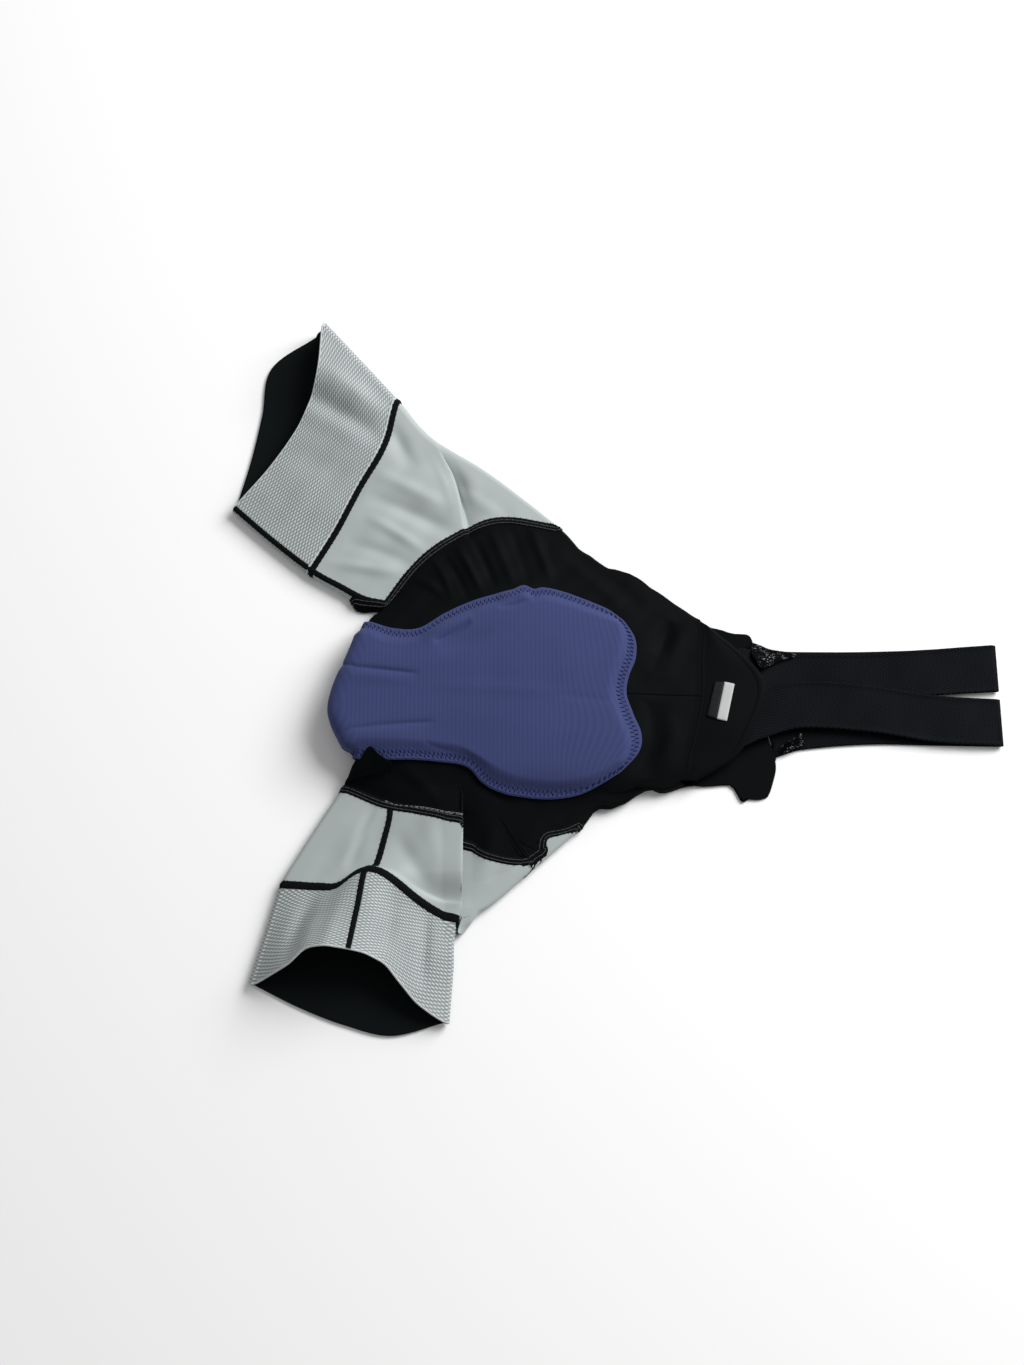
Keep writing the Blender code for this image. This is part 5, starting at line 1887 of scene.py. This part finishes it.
@dataclass
class Studio:
    """The floor, the soft light and the camera."""

    floor_height: float = -1.0
    floor_size: float = 6000.0
    target: Triple = (0.0, 0.0, 0.0)
    elevation: float = 72.0
    distance: float = 1700.0
    lens: float = 50.95
    floor_grey: float = 0.79
    ambient: float = 0.42
    lamp_place: Triple = (2.1, 1.6, 2.05)
    lamp_size: float = 2.2
    lamp_power: float = 190.0

    def build(self) -> None:
        """Build the whole studio."""
        self.floor()
        self.light()
        self.camera()

    def floor(self) -> None:
        """Lay a plain white floor."""
        half = 0.5 * self.floor_size
        corners = np.array([(-half, -half, 0.0), (half, -half, 0.0), (half, half, 0.0), (-half, half, 0.0)])
        corners[:, 2] = self.floor_height
        mesh = bpy.data.meshes.new("floor")
        mesh.from_pydata(to_frame(corners).tolist(), [], [(0, 1, 2, 3)])
        sheet = NodeSheet("floor_white")
        sheet.shader.inputs["Base Color"].default_value = (*(self.floor_grey,) * 3, 1.0)
        sheet.shader.inputs["Roughness"].default_value = 0.9
        sheet.shader.inputs["Specular IOR Level"].default_value = 0.1
        mesh.materials.append(sheet.material)
        floor = bpy.data.objects.new("floor", mesh)
        bpy.context.scene.collection.objects.link(floor)

    def light(self) -> None:
        """Light the floor from above and from the upper right, softly."""
        world = bpy.data.worlds.new("studio")
        world.use_nodes = True
        world.node_tree.nodes["Background"].inputs["Color"].default_value = (1.0, 1.0, 1.0, 1.0)
        world.node_tree.nodes["Background"].inputs["Strength"].default_value = self.ambient
        bpy.context.scene.world = world
        bpy.context.scene.view_settings.view_transform = "Standard"
        data = bpy.data.lights.new("key", "AREA")
        data.energy, data.size = self.lamp_power, self.lamp_size
        lamp = bpy.data.objects.new("key", data)
        lamp.location = self.lamp_place
        lamp.rotation_euler = (-Vector(self.lamp_place)).to_track_quat("-Z", "Y").to_euler()
        bpy.context.scene.collection.objects.link(lamp)

    def camera(self) -> None:
        """Stand the camera over the garment's crotch side, steep above the floor."""
        data = bpy.data.cameras.new("camera")
        data.lens, data.sensor_width = self.lens, 36.0
        camera = bpy.data.objects.new("camera", data)
        angle = math.radians(self.elevation)
        back = Vector((0.0, -math.cos(angle), math.sin(angle)))
        target = Vector(to_frame(np.array(self.target)))
        camera.location = target + back * self.distance * MM
        camera.rotation_euler = (-back).to_track_quat("-Z", "Y").to_euler()
        bpy.context.scene.collection.objects.link(camera)
        bpy.context.scene.camera = camera


@dataclass
class BibShorts:
    """The whole garment: its panels, pad, straps, labels and seams."""

    form: ClothForm
    maker: ClothMesh
    yoke: BackYoke = field(default_factory=BackYoke)
    pad: SeatPad = field(default_factory=SeatPad)

    def build(self) -> None:
        """Build every part of the garment, from the cloth up to the stitches."""
        self.legs()
        self.body()
        self.seams()
        self.yoke.build(self.form, self.maker)
        self.straps()
        self.labels()
        self.pad.build(self.maker)
        self.pad.rim(self.maker)
        self.pad.stitch(self.maker)
        self.patches()

    def patches(self) -> None:
        """Build the flap of black cloth over the pad's corner and the open mesh beside the yoke."""
        flap = LaidPatch(
            "corner_flap",
            ((-144, -96, 9), (-134, -93, 17), (-124, -91, 21), (-114, -90, 22), (-104, -88, 23)),
            ((-143, -93, 13), (-131, -79, 25), (-122, -67.5, 31), (-114, -74, 32), (-102, -82, 30)),
            SOFT_BLACK,
        )
        right = LaidPatch(
            "right_mesh",
            ((211, 22, 12), (219, 9, 12), (227, 13, 10), (238, 18, 8), (250, 22, 7)),
            ((211, 36, 5), (219, 33, 5), (227, 29, 6), (238, 27, 6), (250, 25.5, 6)),
            STRAP_LACE, 0.5,
        )
        left = LaidPatch(
            "left_mesh",
            ((233, -60, 5), (240, -56, 8.6), (252, -48, 7)),
            ((236, -66, 3), (243, -63, 3), (254, -58, 3)),
            STRAP_LACE, 0.5,
        )
        for patch in (flap, right, left):
            patch.build(self.maker)

    def legs(self) -> None:
        """Build the hem bands, their light edges and the grey panels."""
        right_hem, right_band = straight(Row.RIGHT_HEM), straight(Row.RIGHT_BAND_TOP)
        left_band, left_hem = straight(Row.LEFT_BAND_TOP), straight(Row.LEFT_HEM)
        panels = (
            LegPanel("right_leg_band", right_hem, right_band, 60, HONEYCOMB_GREY, 1.6),
            LegPanel("left_leg_band", left_band, left_hem, 62, HONEYCOMB_GREY, 1.6),
            LegPanel("right_leg_panel", right_band, RIGHT_LEG_SEAM, 90, SMOOTH_GREY, 0.6),
            LegPanel("left_leg_panel", LEFT_LEG_SEAM, left_band, 76, SMOOTH_GREY, 0.6, 310),
        )
        for panel in panels:
            panel.build(self.form, self.maker)
        HemEdge("right_hem", Row.RIGHT_HEM, 0.2).build(self.form, self.maker)
        HemEdge("left_hem", Row.LEFT_HEM, -0.2).build(self.form, self.maker)

    def body(self) -> None:
        """Build both halves of the seat and the front panel."""
        seat = ((-0.5, 0.0, 8), (0.0, 1.0, 240), (1.0, 1.5, 8))
        front = ((1.5001, 2.0, 8), (2.0, 3.0, 90), (3.0, 3.5, 8))
        centre = straight(Row.CENTRE_BACK)
        BodyPanel("seat_right", RIGHT_LEG_SEAM, centre, 110, seat).build(self.form, self.maker)
        BodyPanel("seat_left", centre, LEFT_LEG_SEAM, 110, seat, thickness=0.6).build(self.form, self.maker)
        BodyPanel("front_panel", RIGHT_LEG_SEAM, LEFT_LEG_SEAM, 150, front).build(self.form, self.maker)

    def seams(self) -> None:
        """Build the overlocked seams."""
        inseam_right = ClothPath((0.0, 1.0, 2.0, 3.0, 4.0, 4.9), (-0.10, -0.10, -0.08, -0.06, -0.04, 0.0))
        flat_ply = Ply(CHAIN_PLY.pitch, CHAIN_PLY.radius, THREAD_GREY)
        flatlock = ClothPath((15.9, 15.93, 15.86, 15.8, 15.84, 15.87), (0.17, 0.21, 0.27, 0.33, 0.4, 0.47))
        inseam_left = ClothPath((16.0, 17.0, 18.0, 19.0, 20.0, 21.0), (0.20, 0.315, 0.40, 0.455, 0.46, 0.465))
        right_band, left_band = (ring_path(straight(row)) for row in (Row.RIGHT_BAND_TOP, Row.LEFT_BAND_TOP))
        seams = (
            Overlock("right_band_seam", right_band, 5.6, 0.9, edging=4.0),
            Overlock("left_band_seam", left_band, 7.2, 0.9),
            Overlock("right_leg_seam", ring_path(RIGHT_LEG_SEAM), 7.6, 0.8, chains=(0.4, -2.4)),
            Overlock("left_leg_seam", ring_path(LEFT_LEG_SEAM), 7.6, 0.8, chains=(-1.6, 1.2)),
            Overlock("left_leg_flatlock", flatlock, 1.6, 0.3, chains=(0.5, -0.5), chain_ply=flat_ply),
            Overlock("right_inseam", inseam_right, 5.4, 0.8),
            Overlock("left_inseam", inseam_left, 5.8, 0.8),
        )
        for seam in seams:
            seam.build(self.form, self.maker)

    def straps(self) -> None:
        """Build both bib straps."""
        right = (
            (198, 8, 10.1, 8), (222, 6, 6.8, 8), (250, 4, 4.6, 7),
            (310, 4, 4.4, 7), (370, 8, 4.6, 9), (424, 12, 4.4, 12),
        )
        left = (
            (190, -46, 10.0, -52), (214, -34, 9.4, -52), (250, -23, 7.8, -41),
            (310, -26, 7.0, -36), (370, -35, 5.8, -37), (424, -38, 4.6, -38),
        )
        for name, table in (("right_strap", right), ("left_strap", left)):
            runs = tuple(StrapRun(*values) for values in table)
            BibStrap(name, runs, STRAP_MESH).build(self.form, self.maker)

    def labels(self) -> None:
        """Build the two woven labels."""
        dark = ((177, -4), (185, -4), (177, -38), (169, -35))
        white = ((185.5, -4), (194, -6), (186, -40), (177.5, -38))
        WovenLabel("label_dark", dark, LABEL_BLACK, 0.45).build(self.form, self.yoke, self.maker)
        WovenLabel("label_white", white, LABEL_WHITE, 0.45).build(self.form, self.yoke, self.maker)


def main() -> None:
    """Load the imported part, build its looks and the studio."""
    logging.basicConfig(level=logging.INFO, format="%(message)s")
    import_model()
    garment = BibShorts(ClothForm(), ClothMesh(FabricShop()))
    garment.build()
    Studio().build()


if __name__ == "__main__":
    main()
